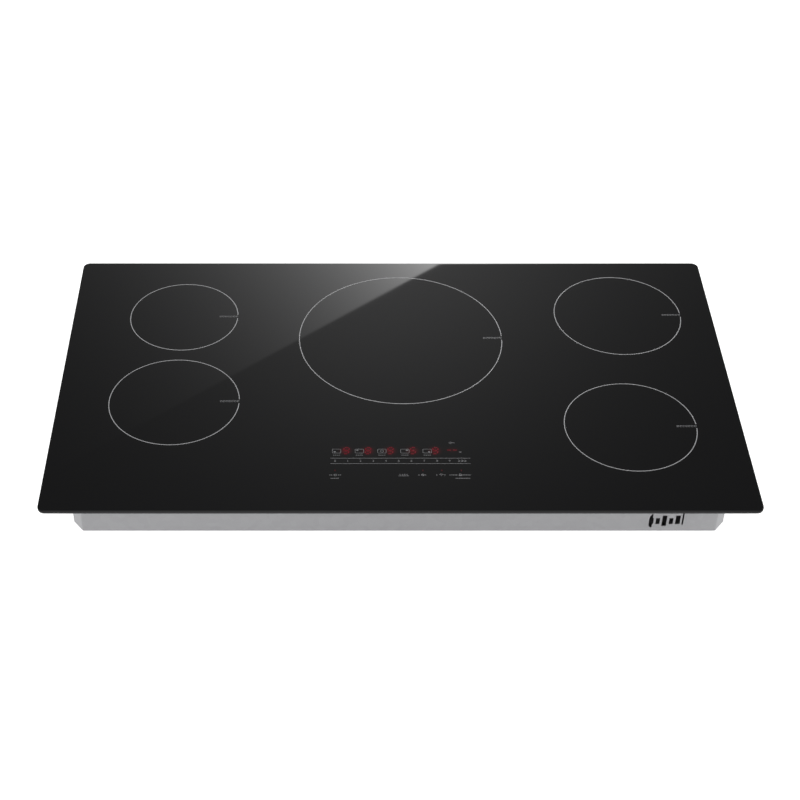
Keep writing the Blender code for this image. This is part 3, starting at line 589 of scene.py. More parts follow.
panel = {
    "iconLeft": (-0.0878, -0.0575, -0.0275, 0.0030, 0.0327),
    "iconSize": (0.0113, 0.0078),
    "iconLow": -0.1590,
    "iconLine": 0.0006,
    "iconSpots": ("lower left", "upper left", "centre", "upper right", "lower right"),
    "labelY": -0.1631,
    "digitLeft": (-0.0735, -0.0445, -0.0147, 0.0153, 0.0450),
    "digitSize": (0.0068, 0.0125),
    "digitLow": -0.1605,
    "digitLine": 0.0016,
    "levels": "98959",
    "timerLeft": (0.0650, 0.0728),
    "timerY": -0.1531,
    "rules": (-0.1691, -0.1796),
    "ruleEnds": (-0.0907, 0.0950),
    "ruleLine": 0.0007,
    "scaleStart": -0.0843,
    "scalePitch": 0.01687,
    "scaleY": -0.1744,
    "scaleHeight": 0.0039,
    "boost": (0.0778, 0.0905),
    "ticks": (-0.0843, 0.0313, 0.0562, 0.0817),
    "tickY": -0.1928,
    "keyY": -0.2016,
    "keyHeight": 0.0035,
    "smallY": -0.2080,
}

# which of the seven bars are lit: top, upper right, lower right, bottom, lower left, upper left, middle
sevenBars = {"5": "1011011", "8": "1111111", "9": "1111011", "-": "0000001"}


def sevenSegment(shape, x, y, width, height, line, lit, lean=0.12):
    half = height / 2
    bars = (
        ((0, height), (width, height)), ((width, height), (width, half)), ((width, half), (width, 0)),
        ((width, 0), (0, 0)), ((0, 0), (0, half)), ((0, half), (0, height)), ((0, half), (width, half)),
    )
    for on, (start, end) in zip(lit, bars):
        if on == "0":
            continue
        start, end = (Vector((x + px + lean * py, y + py)) for px, py in (start, end))
        onward = (end - start).normalized()
        gap, along = onward * line * 0.62, onward * line / 2
        across = Vector((-onward.y, onward.x)) * line / 2
        a, b = start + gap, end - gap
        outline = [
            a - along * 0.2, a + along - across, b - along - across,
            b + along * 0.2, b - along + across, a + along + across,
        ]
        slab([tuple(p) for p in outline], markLow, markHigh, shape)


def zoneIcons():
    shape = bmesh.new()
    width, height = panel["iconSize"]
    y = panel["iconLow"]
    for x, spot in zip(panel["iconLeft"], panel["iconSpots"]):
        edge = filleted(rectangle(x, y, x + width, y + height), 0.0014, 3)
        strip(edge, panel["iconLine"], markLow, markHigh, shape, closed=True)
        spotX = x + width * (0.26 if "left" in spot else 0.74 if "right" in spot else 0.5)
        spotY = y + height * (0.3 if "lower" in spot else 0.7 if "upper" in spot else 0.5)
        if spot == "centre":
            strip(arc((spotX, spotY), 0.0022, 0, 337.5, 15), 0.0006, markLow, markHigh, shape, closed=True)
        else:
            slab(arc((spotX, spotY), 0.0014, 0, 337.5, 15), markLow, markHigh, shape)
        for i in range(4):  # a row of short dashes under each icon
            dashX = x + width * (0.08 + 0.22 * i)
            strip(
                [(dashX, panel["labelY"]), (dashX + 0.0017, panel["labelY"])], 0.0011, markLow, markHigh,
                shape,
            )
    markPiece("zone_icons", shape, panelPrintFinish)


def levelDigits():
    shape = bmesh.new()
    width, height = panel["digitSize"]
    for x, level in zip(panel["digitLeft"], panel["levels"]):
        sevenSegment(shape, x, panel["digitLow"], width, height, panel["digitLine"], sevenBars[level])
    for x in panel["timerLeft"]:
        strip([(x, panel["timerY"]), (x + 0.0052, panel["timerY"])], 0.0014, markLow, markHigh, shape)
    for x in panel["ticks"]:
        y = panel["tickY"]
        strip([(x, y - 0.0013), (x, y + 0.0013)], 0.0006, markLow, markHigh, shape)
    markPiece("level_digits", shape, ledFinish)


def numerals():
    # the scale from 0 to 9, in a plain upright face
    shape = bmesh.new()
    for number in range(10):
        text = bpy.data.curves.new("numeral", "FONT")
        text.body = str(number)
        text.size = panel["scaleHeight"] * 1.38
        text.align_x = "CENTER"
        text.align_y = "CENTER"
        text.resolution_u = 4
        text.extrude = (markHigh - markLow) / 2
        holder = bpy.data.objects.new("numeral", text)
        bpy.context.scene.collection.objects.link(holder)
        mesh = bpy.data.meshes.new_from_object(holder)
        x = panel["scaleStart"] + number * panel["scalePitch"]
        mesh.transform(Matrix.Translation((x, panel["scaleY"], (markLow + markHigh) / 2)))
        shape.from_mesh(mesh)
        bpy.data.objects.remove(holder)
        bpy.data.meshes.remove(mesh)
    for y in panel["rules"]:
        strip(
            [(panel["ruleEnds"][0], y), (panel["ruleEnds"][1], y)], panel["ruleLine"], markLow, markHigh,
            shape,
        )
    left, right = panel["boost"]
    y = panel["scaleY"]
    for i in range(3):  # three arrows for full power
        x = left + 0.0010 + i * 0.0040
        strip([(x, y + 0.0017), (x + 0.0024, y), (x, y - 0.0017)], 0.0009, markLow, markHigh, shape)
    markPiece("power_scale", shape, panelPrintFinish)


def keySigns():
    # plain signs in place of words: power, keep warm, timer, remote, lock
    shape = bmesh.new()
    y, tall = panel["keyY"], panel["keyHeight"]

    def stroke(points, closed=False, width=0.00075):
        strip(points, width, markLow, markHigh, shape, closed)

    def dashes(start, end, level, length=0.0014, gap=0.0008, width=0.0016):
        x = start
        while x + length <= end + 1e-6:
            strip([(x, level), (x + length, level)], width, markLow, markHigh, shape)
            x += length + gap

    stroke(arc((-0.0838, y), tall / 2, 120, 420, 20))
    stroke([(-0.0838, y + 0.0004), (-0.0838, y + tall * 0.62)])
    dashes(-0.0917, -0.0872, y)
    dashes(-0.0802, -0.0757, y)
    dashes(-0.0899, -0.0792, panel["smallY"])

    for i in range(4):  # keep warm: rising waves over a bar
        x = 0.0010 + i * 0.0031
        stroke([(x + 0.0005 * math.sin(k * 0.9), y - tall * 0.28 + k * tall * 0.1) for k in range(9)])
    stroke([(-0.0015, y - tall * 0.5), (0.0127, y - tall * 0.5)])

    stroke(arc((0.0308, y), tall / 2, 0, 342, 19), closed=True)
    stroke([(0.0308, y + 0.0014), (0.0308, y), (0.0319, y - 0.0006)])
    dashes(0.0251, 0.0280, y)
    dashes(0.0338, 0.0368, y)

    slab(arc((0.0551, y - tall * 0.38), 0.0006, 0, 330, 11), markLow, markHigh, shape)
    for radius in (0.0018, 0.0033):
        stroke(arc((0.0551, y - tall * 0.38), radius, 40, 140, 8))
    dashes(0.0484, 0.0512, y)
    dashes(0.0590, 0.0620, y)

    x = 0.0800  # lock
    slab(rectangle(x - 0.0021, y - tall / 2, x + 0.0021, y + 0.0003), markLow, markHigh, shape)
    stroke([(x - 0.0013, y + 0.0003), *arc((x, y + 0.0010), 0.0013, 180, 0, 8), (x + 0.0013, y + 0.0003)])
    dashes(0.0658, 0.0770, y)
    dashes(0.0830, 0.0942, y)
    dashes(0.0735, 0.0935, panel["smallY"])

    stroke(arc((0.0700, -0.1388), 0.0017, 0, 337.5, 15), closed=True, width=0.0006)  # timer heading
    stroke([(0.0700, -0.1377), (0.0700, -0.1388), (0.0708, -0.1393)], width=0.0005)
    dashes(0.0728, 0.0776, -0.1388, 0.0012, 0.0007, 0.0013)
    stroke([(0.0812, -0.1555), (0.0812, -0.1578), (0.0834, -0.1578), (0.0834, -0.1555)], width=0.0006)
    markPiece("key_signs", shape, panelPrintFinish)


zoneIcons()
levelDigits()
numerals()
keySigns()
print("marks ready")


# Shapes that several pieces share


def bake(piece):
    graph = bpy.context.evaluated_depsgraph_get()
    mesh = bpy.data.meshes.new_from_object(piece.evaluated_get(graph))
    piece.modifiers.clear()
    old = piece.data
    piece.data = mesh
    bpy.data.meshes.remove(old)
    return piece


def cutAway(piece, cutters, smooth=35):
    bmesh.ops.recalc_face_normals(cutters, faces=cutters.faces)
    mesh = bpy.data.meshes.new("cutter")
    cutters.to_mesh(mesh)
    cutters.free()
    holder = bpy.data.objects.new("cutter", mesh)
    bpy.context.scene.collection.objects.link(holder)
    modifier = piece.modifiers.new("cut", "BOOLEAN")
    modifier.object = holder
    modifier.operation = "DIFFERENCE"
    modifier.solver = "EXACT"
    bake(piece)
    bpy.data.objects.remove(holder)
    smoothBy(piece.data, smooth)
    return piece


def opened(piece):
    shape = bmesh.new()
    shape.from_mesh(piece.data)
    return shape


def closed(piece, shape, smooth):
    # the changed mesh goes back into its piece
    shape.to_mesh(piece.data)
    shape.free()
    smoothBy(piece.data, smooth)


def put(shape, extra, place=None):
    # adds one bmesh to another
    mesh = bpy.data.meshes.new("added")
    extra.to_mesh(mesh)
    extra.free()
    if place is not None:
        mesh.transform(place)
    shape.from_mesh(mesh)
    bpy.data.meshes.remove(mesh)
    return shape


def softBox(shape, low, high, radius=0.0004, steps=2):
    extra = slab(rectangle(*low[:2], *high[:2]), low[2], high[2])
    bmesh.ops.recalc_face_normals(extra, faces=extra.faces)
    bmesh.ops.bevel(extra, geom=extra.edges[:], offset=radius, segments=steps, affect="EDGES", profile=0.5)
    return put(shape, extra)


def turned(shape, profile, sides=32, place=None):
    # a solid of revolution about Z; profile points are (radius, height), and it closes on itself
    # or on the axis
    extra = bmesh.new()
    rings = []
    for radius, height in profile:
        if radius < 1e-7:
            rings.append([extra.verts.new((0, 0, height))])
            continue
        angles = [fullTurn * i / sides for i in range(sides)]
        rings.append([extra.verts.new((radius * math.cos(a), radius * math.sin(a), height)) for a in angles])
    pairs = list(zip(rings, rings[1:]))
    if profile[0][0] > 1e-7:
        pairs.append((rings[-1], rings[0]))
    for a, b in pairs:
        for i in range(sides):
            j = (i + 1) % sides
            corners = [a[i % len(a)], a[j % len(a)], b[j % len(b)], b[i % len(b)]]
            corners = [v for k, v in enumerate(corners) if v not in corners[:k]]
            if len(corners) > 2:
                extra.faces.new(corners)
    return put(shape, extra, place)


def tube(shape, points, radius, sides=8, place=None):
    # a round wire along points, kept from twisting
    points = [Vector(point) for point in points]
    normal = None
    rings = []
    for i, point in enumerate(points):
        ahead = points[min(i + 1, len(points) - 1)] - points[max(i - 1, 0)]
        ahead.normalize()
        if normal is None:
            normal = ahead.orthogonal().normalized()
        normal = (normal - ahead * normal.dot(ahead)).normalized()
        side = ahead.cross(normal)
        angles = [fullTurn * k / sides for k in range(sides)]
        rings.append([point + (normal * math.cos(a) + side * math.sin(a)) * radius for a in angles])
    return put(shape, loft(rings), place)


def smoothLine(points, steps=6):
    # a curve through all the points
    points = [Vector(point) for point in points]
    made = []
    for i in range(len(points) - 1):
        a, b = points[max(i - 1, 0)], points[i]
        c, d = points[i + 1], points[min(i + 2, len(points) - 1)]
        for k in range(steps):
            t = k / steps
            made.append(
                0.5 * (
                    2 * b + (c - a) * t + (2 * a - 5 * b + 4 * c - d) * t**2 + (3 * b - a - 3 * c + d) * t**3
                )
            )
    return [*made, points[-1]]


def growTree(name, sockets):
    # a Geometry Nodes tree with named inputs; returns it and the inputs
    tree = bpy.data.node_groups.new(name, "GeometryNodeTree")
    tree.interface.new_socket("Geometry", in_out="OUTPUT", socket_type="NodeSocketGeometry")
    for label, kind in sockets.items():
        tree.interface.new_socket(label, in_out="INPUT", socket_type="NodeSocket" + kind)
    return tree, tree.nodes.new("NodeGroupInput").outputs


def closeTree(tree, geometry, material):
    real = addNode(tree, "GeometryNodeRealizeInstances", {"Geometry": geometry}).outputs[0]
    painted = addNode(tree, "GeometryNodeSetMaterial", {"Geometry": real, "Material": material}).outputs[0]
    addNode(tree, "NodeGroupOutput", {"Geometry": painted})


def grow(name, tree, values, smooth=35):
    piece = bpy.data.objects.new(name, bpy.data.meshes.new(name))
    bpy.context.scene.collection.objects.link(piece)
    modifier = piece.modifiers.new("grow", "NODES")
    modifier.node_group = tree
    for item in tree.interface.items_tree:
        if item.in_out == "INPUT" and item.name in values:
            modifier[item.identifier] = values[item.name]
    bake(piece)
    smoothBy(piece.data, smooth)
    return piece


def source(shape, name="source"):
    # a hidden mesh for a tree to repeat
    bmesh.ops.recalc_face_normals(shape, faces=shape.faces)
    mesh = bpy.data.meshes.new(name)
    shape.to_mesh(mesh)
    shape.free()
    holder = bpy.data.objects.new(name, mesh)
    bpy.context.scene.collection.objects.link(holder)
    return holder


def drop(holder):
    mesh = holder.data
    bpy.data.objects.remove(holder)
    bpy.data.meshes.remove(mesh)


def carried(name, material):
    # a node of the model that keeps its shape
    node = nodes[name]
    node.data.materials.clear()
    node.data.materials.append(material)


# More materials


def speckled(name, dark, light, scale, rough, depth=0.0, **surface):
    # moulded or foamed stuff: two near shades in grains, with a roughness range
    made, tree, shader, place = startMaterial(name, **surface)
    grain = addNode(
        tree, "ShaderNodeTexNoise", {"Vector": place, "Scale": scale, "Detail": 4.0},
    ).outputs["Fac"]
    drive(tree, shader, Base_Color=ramp(tree, grain, [(0.3, dark), (0.7, light)]))
    drive(tree, shader, Roughness=spread(tree, grain, *rough))
    if depth:
        bump(tree, shader, grain, depth)
    return made


def streaked(name, dark, light, stretch, rough, depth, **surface):
    # rolled, drawn or sawn metal: streaks along its longest direction, finer marks across
    made, tree, shader, place = startMaterial(name, Metallic=1.0, **surface)
    long = addNode(tree, "ShaderNodeMapping", {"Vector": place, "Scale": stretch}).outputs[0]
    lines = addNode(tree, "ShaderNodeTexNoise", {"Vector": long, "Scale": 1.0, "Detail": 6.0}).outputs["Fac"]
    clouds = addNode(
        tree, "ShaderNodeTexNoise", {"Vector": place, "Scale": 60.0, "Detail": 2.0},
    ).outputs["Fac"]
    both = mathNode(tree, "MULTIPLY_ADD", lines, 0.7, mathNode(tree, "MULTIPLY", clouds, 0.3))
    drive(tree, shader, Base_Color=ramp(tree, both, [(0.35, dark), (0.65, light)]))
    drive(tree, shader, Roughness=spread(tree, both, *rough))
    bump(tree, shader, lines, depth)
    return made


def solderMask(name, dark, light, tin):
    # glass-epoxy laminate 1.6 mm, green mask over copper tracks on a 2.5 mm grid, with tinned pads between
    made, tree, shader, place = startMaterial(name, Roughness=0.35)
    shader.inputs["Coat Weight"].default_value = 0.4
    tracks = addNode(
        tree, "ShaderNodeTexBrick",
        {"Vector": place, "Scale": 1.0, "Brick Width": 0.017, "Row Height": 0.0025, "Mortar Size": 0.00045,
         "Color1": (0, 0, 0, 1), "Color2": (0, 0, 0, 1), "Mortar": (1, 1, 1, 1)},
    ).outputs["Color"]
    zones = addNode(tree, "ShaderNodeTexVoronoi", {"Vector": place, "Scale": 45.0}).outputs["Distance"]
    pours = ramp(tree, zones, [(0.38, (1, 1, 1, 1)), (0.42, (0, 0, 0, 1))])
    high = mathNode(tree, "MAXIMUM", tracks, pours)
    base = ramp(tree, high, [(0.2, dark), (0.8, light)])
    bump(tree, shader, high, 0.00004)
    holes = addNode(tree, "ShaderNodeTexVoronoi", {"Vector": place, "Scale": 190.0}).outputs["Distance"]
    pad = mathNode(tree, "LESS_THAN", holes, 0.13)
    mixed = addNode(tree, "ShaderNodeMix", {"Factor": pad, 6: base, 7: linear(tin)}, data_type="RGBA")
    drive(tree, shader, Base_Color=mixed.outputs[2], Metallic=pad)
    return made


def banded(name, colours, pitch, axis, rough):
    # stripes across a flat cable, with a fine grain
    made, tree, shader, place = startMaterial(name, Roughness=rough)
    along = addNode(tree, "ShaderNodeSeparateXYZ", {0: place}).outputs[axis]
    wave = mathNode(tree, "FRACT", mathNode(tree, "DIVIDE", along, pitch))
    drive(tree, shader, Base_Color=ramp(tree, wave, colours))
    grain = addNode(tree, "ShaderNodeTexNoise", {"Vector": place, "Scale": 900.0}).outputs["Fac"]
    bump(tree, shader, grain, 0.00003)
    return made


foamFinish = speckled("closed-cell foam", "#161617", "#2a2a2c", 1400.0, (0.85, 1.0), 0.0003)
zincFinish = streaked("zinc-plated steel", "#a9acb2", "#c3c5c8", (40, 300, 40), (0.26, 0.42), 0.00002)
springFinish = streaked("drawn spring steel", "#8b8b8d", "#aaaaac", (90, 90, 400), (0.25, 0.4), 0.00001)
aluminiumFinish = streaked("mill-finish aluminium", "#b4b6b8", "#cfd0d2", (500, 14, 500), (0.3, 0.5), 0.00002)
copperFinish = speckled(
    "enamelled copper litz", "#8f3d16", "#c5672f", 1500.0, (0.22, 0.4), 0.0002, Metallic=0.85,
)
nylonFinish = speckled("glass-filled nylon", "#121213", "#202022", 1800.0, (0.42, 0.62), 0.00008)
whitePlasticFinish = speckled("white PBT", "#cfccc4", "#dedbd3", 120.0, (0.38, 0.5), 0.00002)
steatiteFinish = speckled("steatite", "#cfc8b6", "#e1dbcb", 900.0, (0.55, 0.7), 0.00005)
ferriteFinish = speckled("sintered ferrite", "#232326", "#37373b", 2400.0, (0.45, 0.6), 0.00006)
micaFinish = speckled("mica paper", "#94805a", "#a8925f", 160.0, (0.25, 0.5), 0.00004)
maskFinish = solderMask("green solder mask", "#0b3a22", "#14532f", "#c9c6bd")
sleeveFinish = speckled("capacitor sleeve", "#15161c", "#20222b", 500.0, (0.25, 0.4))
filmFinish = speckled("film capacitor case", "#7c2117", "#8e2a1d", 700.0, (0.35, 0.5), 0.00003)
epoxyFinish = speckled("moulded epoxy", "#0f0f10", "#1b1b1d", 3000.0, (0.5, 0.7), 0.00005)
tinFinish = streaked("tinned brass", "#b8b5ab", "#d2cfc6", (60, 60, 300), (0.22, 0.38), 0.00001)
ribbonFinish = banded(
    "grey PVC ribbon", [(0.0, "#7f8082"), (0.5, "#a3a4a6"), (1.0, "#7f8082")], 0.00127, "Y", 0.45,
)
wireFinish = speckled("silicone wire", "#1a1a1c", "#29292b", 800.0, (0.4, 0.55))
lensFinish = speckled("smoked display lens", "#240508", "#33080c", 300.0, (0.12, 0.25))
guideFinish = speckled("diffusing light guide", "#d8d8d2", "#e8e8e3", 200.0, (0.4, 0.6))
print("materials ready")


# Pan

pan = {
    "half": (0.430, 0.2405),
    "corner": (0.0135, 0.0170),
    "cornerRadius": 0.0030,
    "height": 0.0605,
    "sheet": 0.001,
    "bend": 0.0016,
    "fan": (0.345, 0.135),
    "firstSlotX": 0.3300,
    "firstSlot": (
        (0, 0.0070), (0.0019, 0.0070), (0.0019, 0.0133), (0.0032, 0.0133), (0.0032, 0.0243), (0.0019, 0.0243),
        (0.0019, 0.0310), (0.0002, 0.0310), (-0.0020, 0.0275), (-0.0028, 0.0220), (-0.0028, 0.0125),
        (-0.0020, 0.0090),
    ),
    "slots": (
        (0.3388, 0.0053, 0.0131, 0.0240), (0.3474, 0.0061, 0.0095, 0.0288), (0.3562, 0.0055, 0.0131, 0.0240),
        (0.3649, 0.0062, 0.0131, 0.0287), (0.3714, 0.0023, 0.0122, 0.0335),
    ),
    # slots round each fan: count, half width, far end, near ends
    "inlet": (16, 0.0017, 0.036, (0.020, 0.012)),
    "floorRows": (-0.090, 0.010),
    "floorSlot": (0.004, 0.036, 0.012, 9),  # width, length, pitch, count
    "screwHole": 0.0022,
    "sideScrews": ((-0.150, 0.052), (0.150, 0.052), (0, 0.036)),  # along the wall, and up
    "entry": (0.155, 0.012, 0.235, 0.048),
    "coverScrew": (0.151, 0.030),
}


def panOutline(inset):
    x, y = pan["half"][0] - inset, pan["half"][1] - inset
    a, b = pan["corner"]
    moved = a * b - inset * (a + b - math.hypot(a, b))
    a, b = moved / b, moved / a
    points = [
        (x, y - b), (x - a, y), (a - x, y), (-x, y - b), (-x, b - y), (a - x, -y), (x - a, -y), (x, b - y),
    ]
    return filleted(points, pan["cornerRadius"] - inset, 7)


def wallHole(shape, spot, radius, axis):
    # a round cutter through a wall that faces X or Y
    turn = Matrix.Rotation(math.pi / 2, 4, "Y" if axis == "X" else "X")
    turned(
        shape, [(0, -0.004), (radius, -0.004), (radius, 0.004), (0, 0.004)], 24,
        Matrix.Translation(spot) @ turn,
    )


def longSlot(shape, low, high, place=None):
    # a slot with round ends that runs through the floor, along its longer side
    (x0, y0), (x1, y1) = low, high
    radius = min(x1 - x0, y1 - y0) / 2 * 0.98
    put(shape, slab(filleted(rectangle(x0, y0, x1, y1), radius, 6), -0.003, 0.005), place)


def bottomPan():
    bend, sheet, top = pan["bend"], pan["sheet"], pan["height"]
    outer = arc((bend, bend), bend, 270, 180, 5)
    inner = arc((bend, bend), bend - sheet, 180, 270, 4)
    lip = [(0, top - 0.0003), (0.0003, top), (sheet - 0.0003, top), (sheet, top - 0.0003)]
    rings = []
    for inset, z in [*outer, *lip, *inner]:
        rings.append([(x, y, z) for x, y in panOutline(inset)])
    piece = finish("bottom_pan_sheet", loft(rings), panFinish, 30)
    holes = bmesh.new()
    halfY = pan["half"][1]
    count, thin, far, near = pan["inlet"]
    for place in (Matrix(), halfTurn):
        vents = [[(pan["firstSlotX"] + x, z) for x, z in pan["firstSlot"]]]
        for middle, width, low, high in pan["slots"]:
            vents.append(filleted(rectangle(middle - width / 2, low, middle + width / 2, high), 0.0003, 2))
        for outline in vents:
            put(
                holes, loft([[(x, y, z) for x, z in outline] for y in (-halfY - 0.004, -halfY + 0.004)]),
                place,
            )
        for i in range(count):
            spin = Matrix.Translation((*pan["fan"], 0)) @ Matrix.Rotation(fullTurn * i / count, 4, "Z")
            longSlot(holes, (near[i % 2], -thin), (far, thin), place @ spin)
        side = bmesh.new()
        for y, z in pan["sideScrews"]:
            wallHole(side, (pan["half"][0], y, z), pan["screwHole"], "X")
        put(holes, side, place)
    width, length, pitch, count = pan["floorSlot"]
    for row in pan["floorRows"]:
        for i in range(count):
            x = (i - (count - 1) / 2) * pitch
            longSlot(holes, (x - width / 2, row - length / 2), (x + width / 2, row + length / 2))
    left, low, right, high = pan["entry"]
    softBox(holes, (left, halfY - 0.005, low), (right, halfY + 0.005, high), 0.002, 3)
    x, z = pan["coverScrew"]
    wallHole(holes, (x, halfY, z), pan["screwHole"], "Y")
    fit(cutAway(piece, holes, 30), "pan_steel", "bottom_pan")


def foamTape():
    low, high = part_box("edge_gasket")
    width, depth = high.x - low.x, high.y - low.y
    rings = []
    for inset, z in filleted([(0, low.z), (0, high.z), (0.012, high.z), (0.012, low.z)], 0.0006, 4):
        outline = roundedOutline(width - 2 * inset, depth - 2 * inset, 0.016 - inset, 8)
        rings.append([(x, y, z) for x, y in outline])
    fit(finish("foam_tape", closedLoft(rings), foamFinish, 40), "foam", "edge_gasket")


bottomPan()
foamTape()
for side in ("left", "right"):
    carried(f"glass_rail_{side}", zincFinish)
for plate in ("left", "centre", "right"):
    carried(f"coil_plate_{plate}", aluminiumFinish)
print("pan ready")


# Screws, brackets and the mains entry

screwSizes = {
    "shank": 0.0018,
    "root": 0.0014,
    "thread": 0.0009,
    "head": 0.0038,
    "headHeight": 0.0022,
    "recess": (0.0009, 0.0042, 0.0013),  # width, span and depth of the cross
}


def threaded(shape, radius, root, pitch, low, high, sides=18, place=None):
    # a rod with one helical ridge, a point per step of the turn
    rows = max(2, round((high - low) / pitch * 6))
    rings = []
    for k in range(rows + 1):
        z = low + (high - low) * k / rows
        fade = min(1, k / 5, (rows - k) / 3)
        ring = []
        for i in range(sides):
            angle = fullTurn * i / sides
            phase = (z / pitch - i / sides) % 1
            reach = root + (radius - root) * max(0, 1 - abs(phase - 0.5) * 3) * fade
            ring.append((reach * math.cos(angle), reach * math.sin(angle), z))
        rings.append(ring)
    return put(shape, loft(rings), place)


def crossScrew(name, depth, place):
    # a pan-head screw: its head stands out along +Z of place, its tip is depth below it
    size = screwSizes
    head, height = size["head"], size["headHeight"]
    shape = bmesh.new()
    dome = arc((head - height, 0.0002), height - 0.0002, 0, 90, 7)
    turned(shape, [(0, 0), (head - 0.0002, 0), *dome, (0, height)], 28)
    piece = finish(name, shape, zincFinish, 30)
    width, span, deep = size["recess"]
    for x, y in ((span / 2, width / 2), (width / 2, span / 2)):
        cutAway(piece, softBox(bmesh.new(), (-x, -y, height - deep), (x, y, height + 0.001), 0.00015, 1))
    rod = opened(piece)
    root = size["root"]
    threaded(rod, size["shank"], root, size["thread"], -depth + 0.0012, 0.0001)
    tip = [(0, -depth), (root * 0.35, -depth + 0.0001), (root, -depth + 0.0012), (0, -depth + 0.0013)]
    turned(rod, tip, 18)
    rod.transform(place)
    rod.to_mesh(piece.data)
    rod.free()
    return piece


def seatedScrew(name, direction):
    # fits a screw in the box of its node, with the head on the outer side
    low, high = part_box(name)
    axis = Vector(direction)
    length = abs((high - low).dot(axis))
    seat = (low + high) / 2 + axis * length / 2 - axis * screwSizes["headHeight"]
    place = Matrix.Translation(seat) @ axis.to_track_quat("Z", "Y").to_matrix().to_4x4()
    fit(crossScrew(f"{name}_body", length - screwSizes["headHeight"], place), "zinc_steel", name)


clamp = {
    "inner": 0.4303,  # outer side of the pan's wall, and the gap
    "reach": 0.030,
    "sheet": 0.0015,
    "screwX": 0.450,
    "hole": 0.0028,
    "thread": (0.0025, 0.0021, 0.0008),  # crest, root and pitch
    "foot": 0.006,
}


def bracket(side):
    name = f"retaining_bracket_{side}"
    low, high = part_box(name)
    place = Matrix() if side == "right" else halfTurn
    inner, outer, thick = clamp["inner"], clamp["inner"] + clamp["reach"], clamp["sheet"]
    bottom, top = low.z, high.z
    corners = [
        (inner, bottom), (outer, bottom), (outer, bottom + thick), (inner + thick, bottom + thick),
        (inner + thick, top), (inner, top),
    ]
    outline = filleted(corners, [0.0022, 0.0006, 0.0006, 0.0008, 0.0006, 0.0002], 5)
    half = (high.y - low.y) / 2
    levels = (-half, -half + 0.0002, half - 0.0002, half)
    shape = put(bmesh.new(), loft([[(x, y, z) for x, z in outline] for y in levels]), place)
    piece = finish(f"{name}_plate", shape, zincFinish, 30)
    holes, hole = bmesh.new(), clamp["hole"]
    bore = [(0, bottom - 0.004), (hole, bottom - 0.004), (hole, bottom + 0.006), (0, bottom + 0.006)]
    turned(holes, bore, 24, place @ Matrix.Translation((clamp["screwX"], 0, 0)))
    wall = bmesh.new()
    wallHole(wall, (inner, *pan["sideScrews"][2]), pan["screwHole"], "X")
    put(holes, wall, place)
    fit(cutAway(piece, holes, 30), "zinc_steel", name)


def clampScrew(side):
    name = f"clamp_screw_{side}"
    low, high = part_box(name)
    middle, foot = (low.x + high.x) / 2, clamp["foot"]
    place = Matrix.Translation((middle, 0, 0))
    shape = bmesh.new()
    threaded(shape, *clamp["thread"], low.z + 0.0006, high.z - 0.0038, 24, place)
    turned(shape, [(0, low.z), (0.0018, low.z), (0.0021, low.z + 0.0006), (0, low.z + 0.0007)], 24, place)
    rim = [
        (0, high.z - 0.004), (foot - 0.0006, high.z - 0.004), (foot, high.z - 0.0034),
        (foot, high.z - 0.0008), (foot - 0.0004, high.z - 0.0002), (foot - 0.0008, high.z), (0, high.z),
    ]
    turned(shape, rim, 36, place)
    piece = finish(f"{name}_body", shape, zincFinish, 30)
    cut = ((middle - 0.003, -0.0004, low.z - 0.001), (middle + 0.003, 0.0004, low.z + 0.0008))
    slot = softBox(bmesh.new(), *cut, 0.0001, 1)
    fit(cutAway(piece, slot, 30), "zinc_steel", name)


conduit = {
    "cover": 0.0113,  # radius of the hole in the cover
    "bore": 0.0090,
    "thread": 0.0110,
    "collar": 0.0130,
    "flange": 0.0155,
    "seat": 0.24210,  # where the flange meets the cover
    "notches": 8,
}


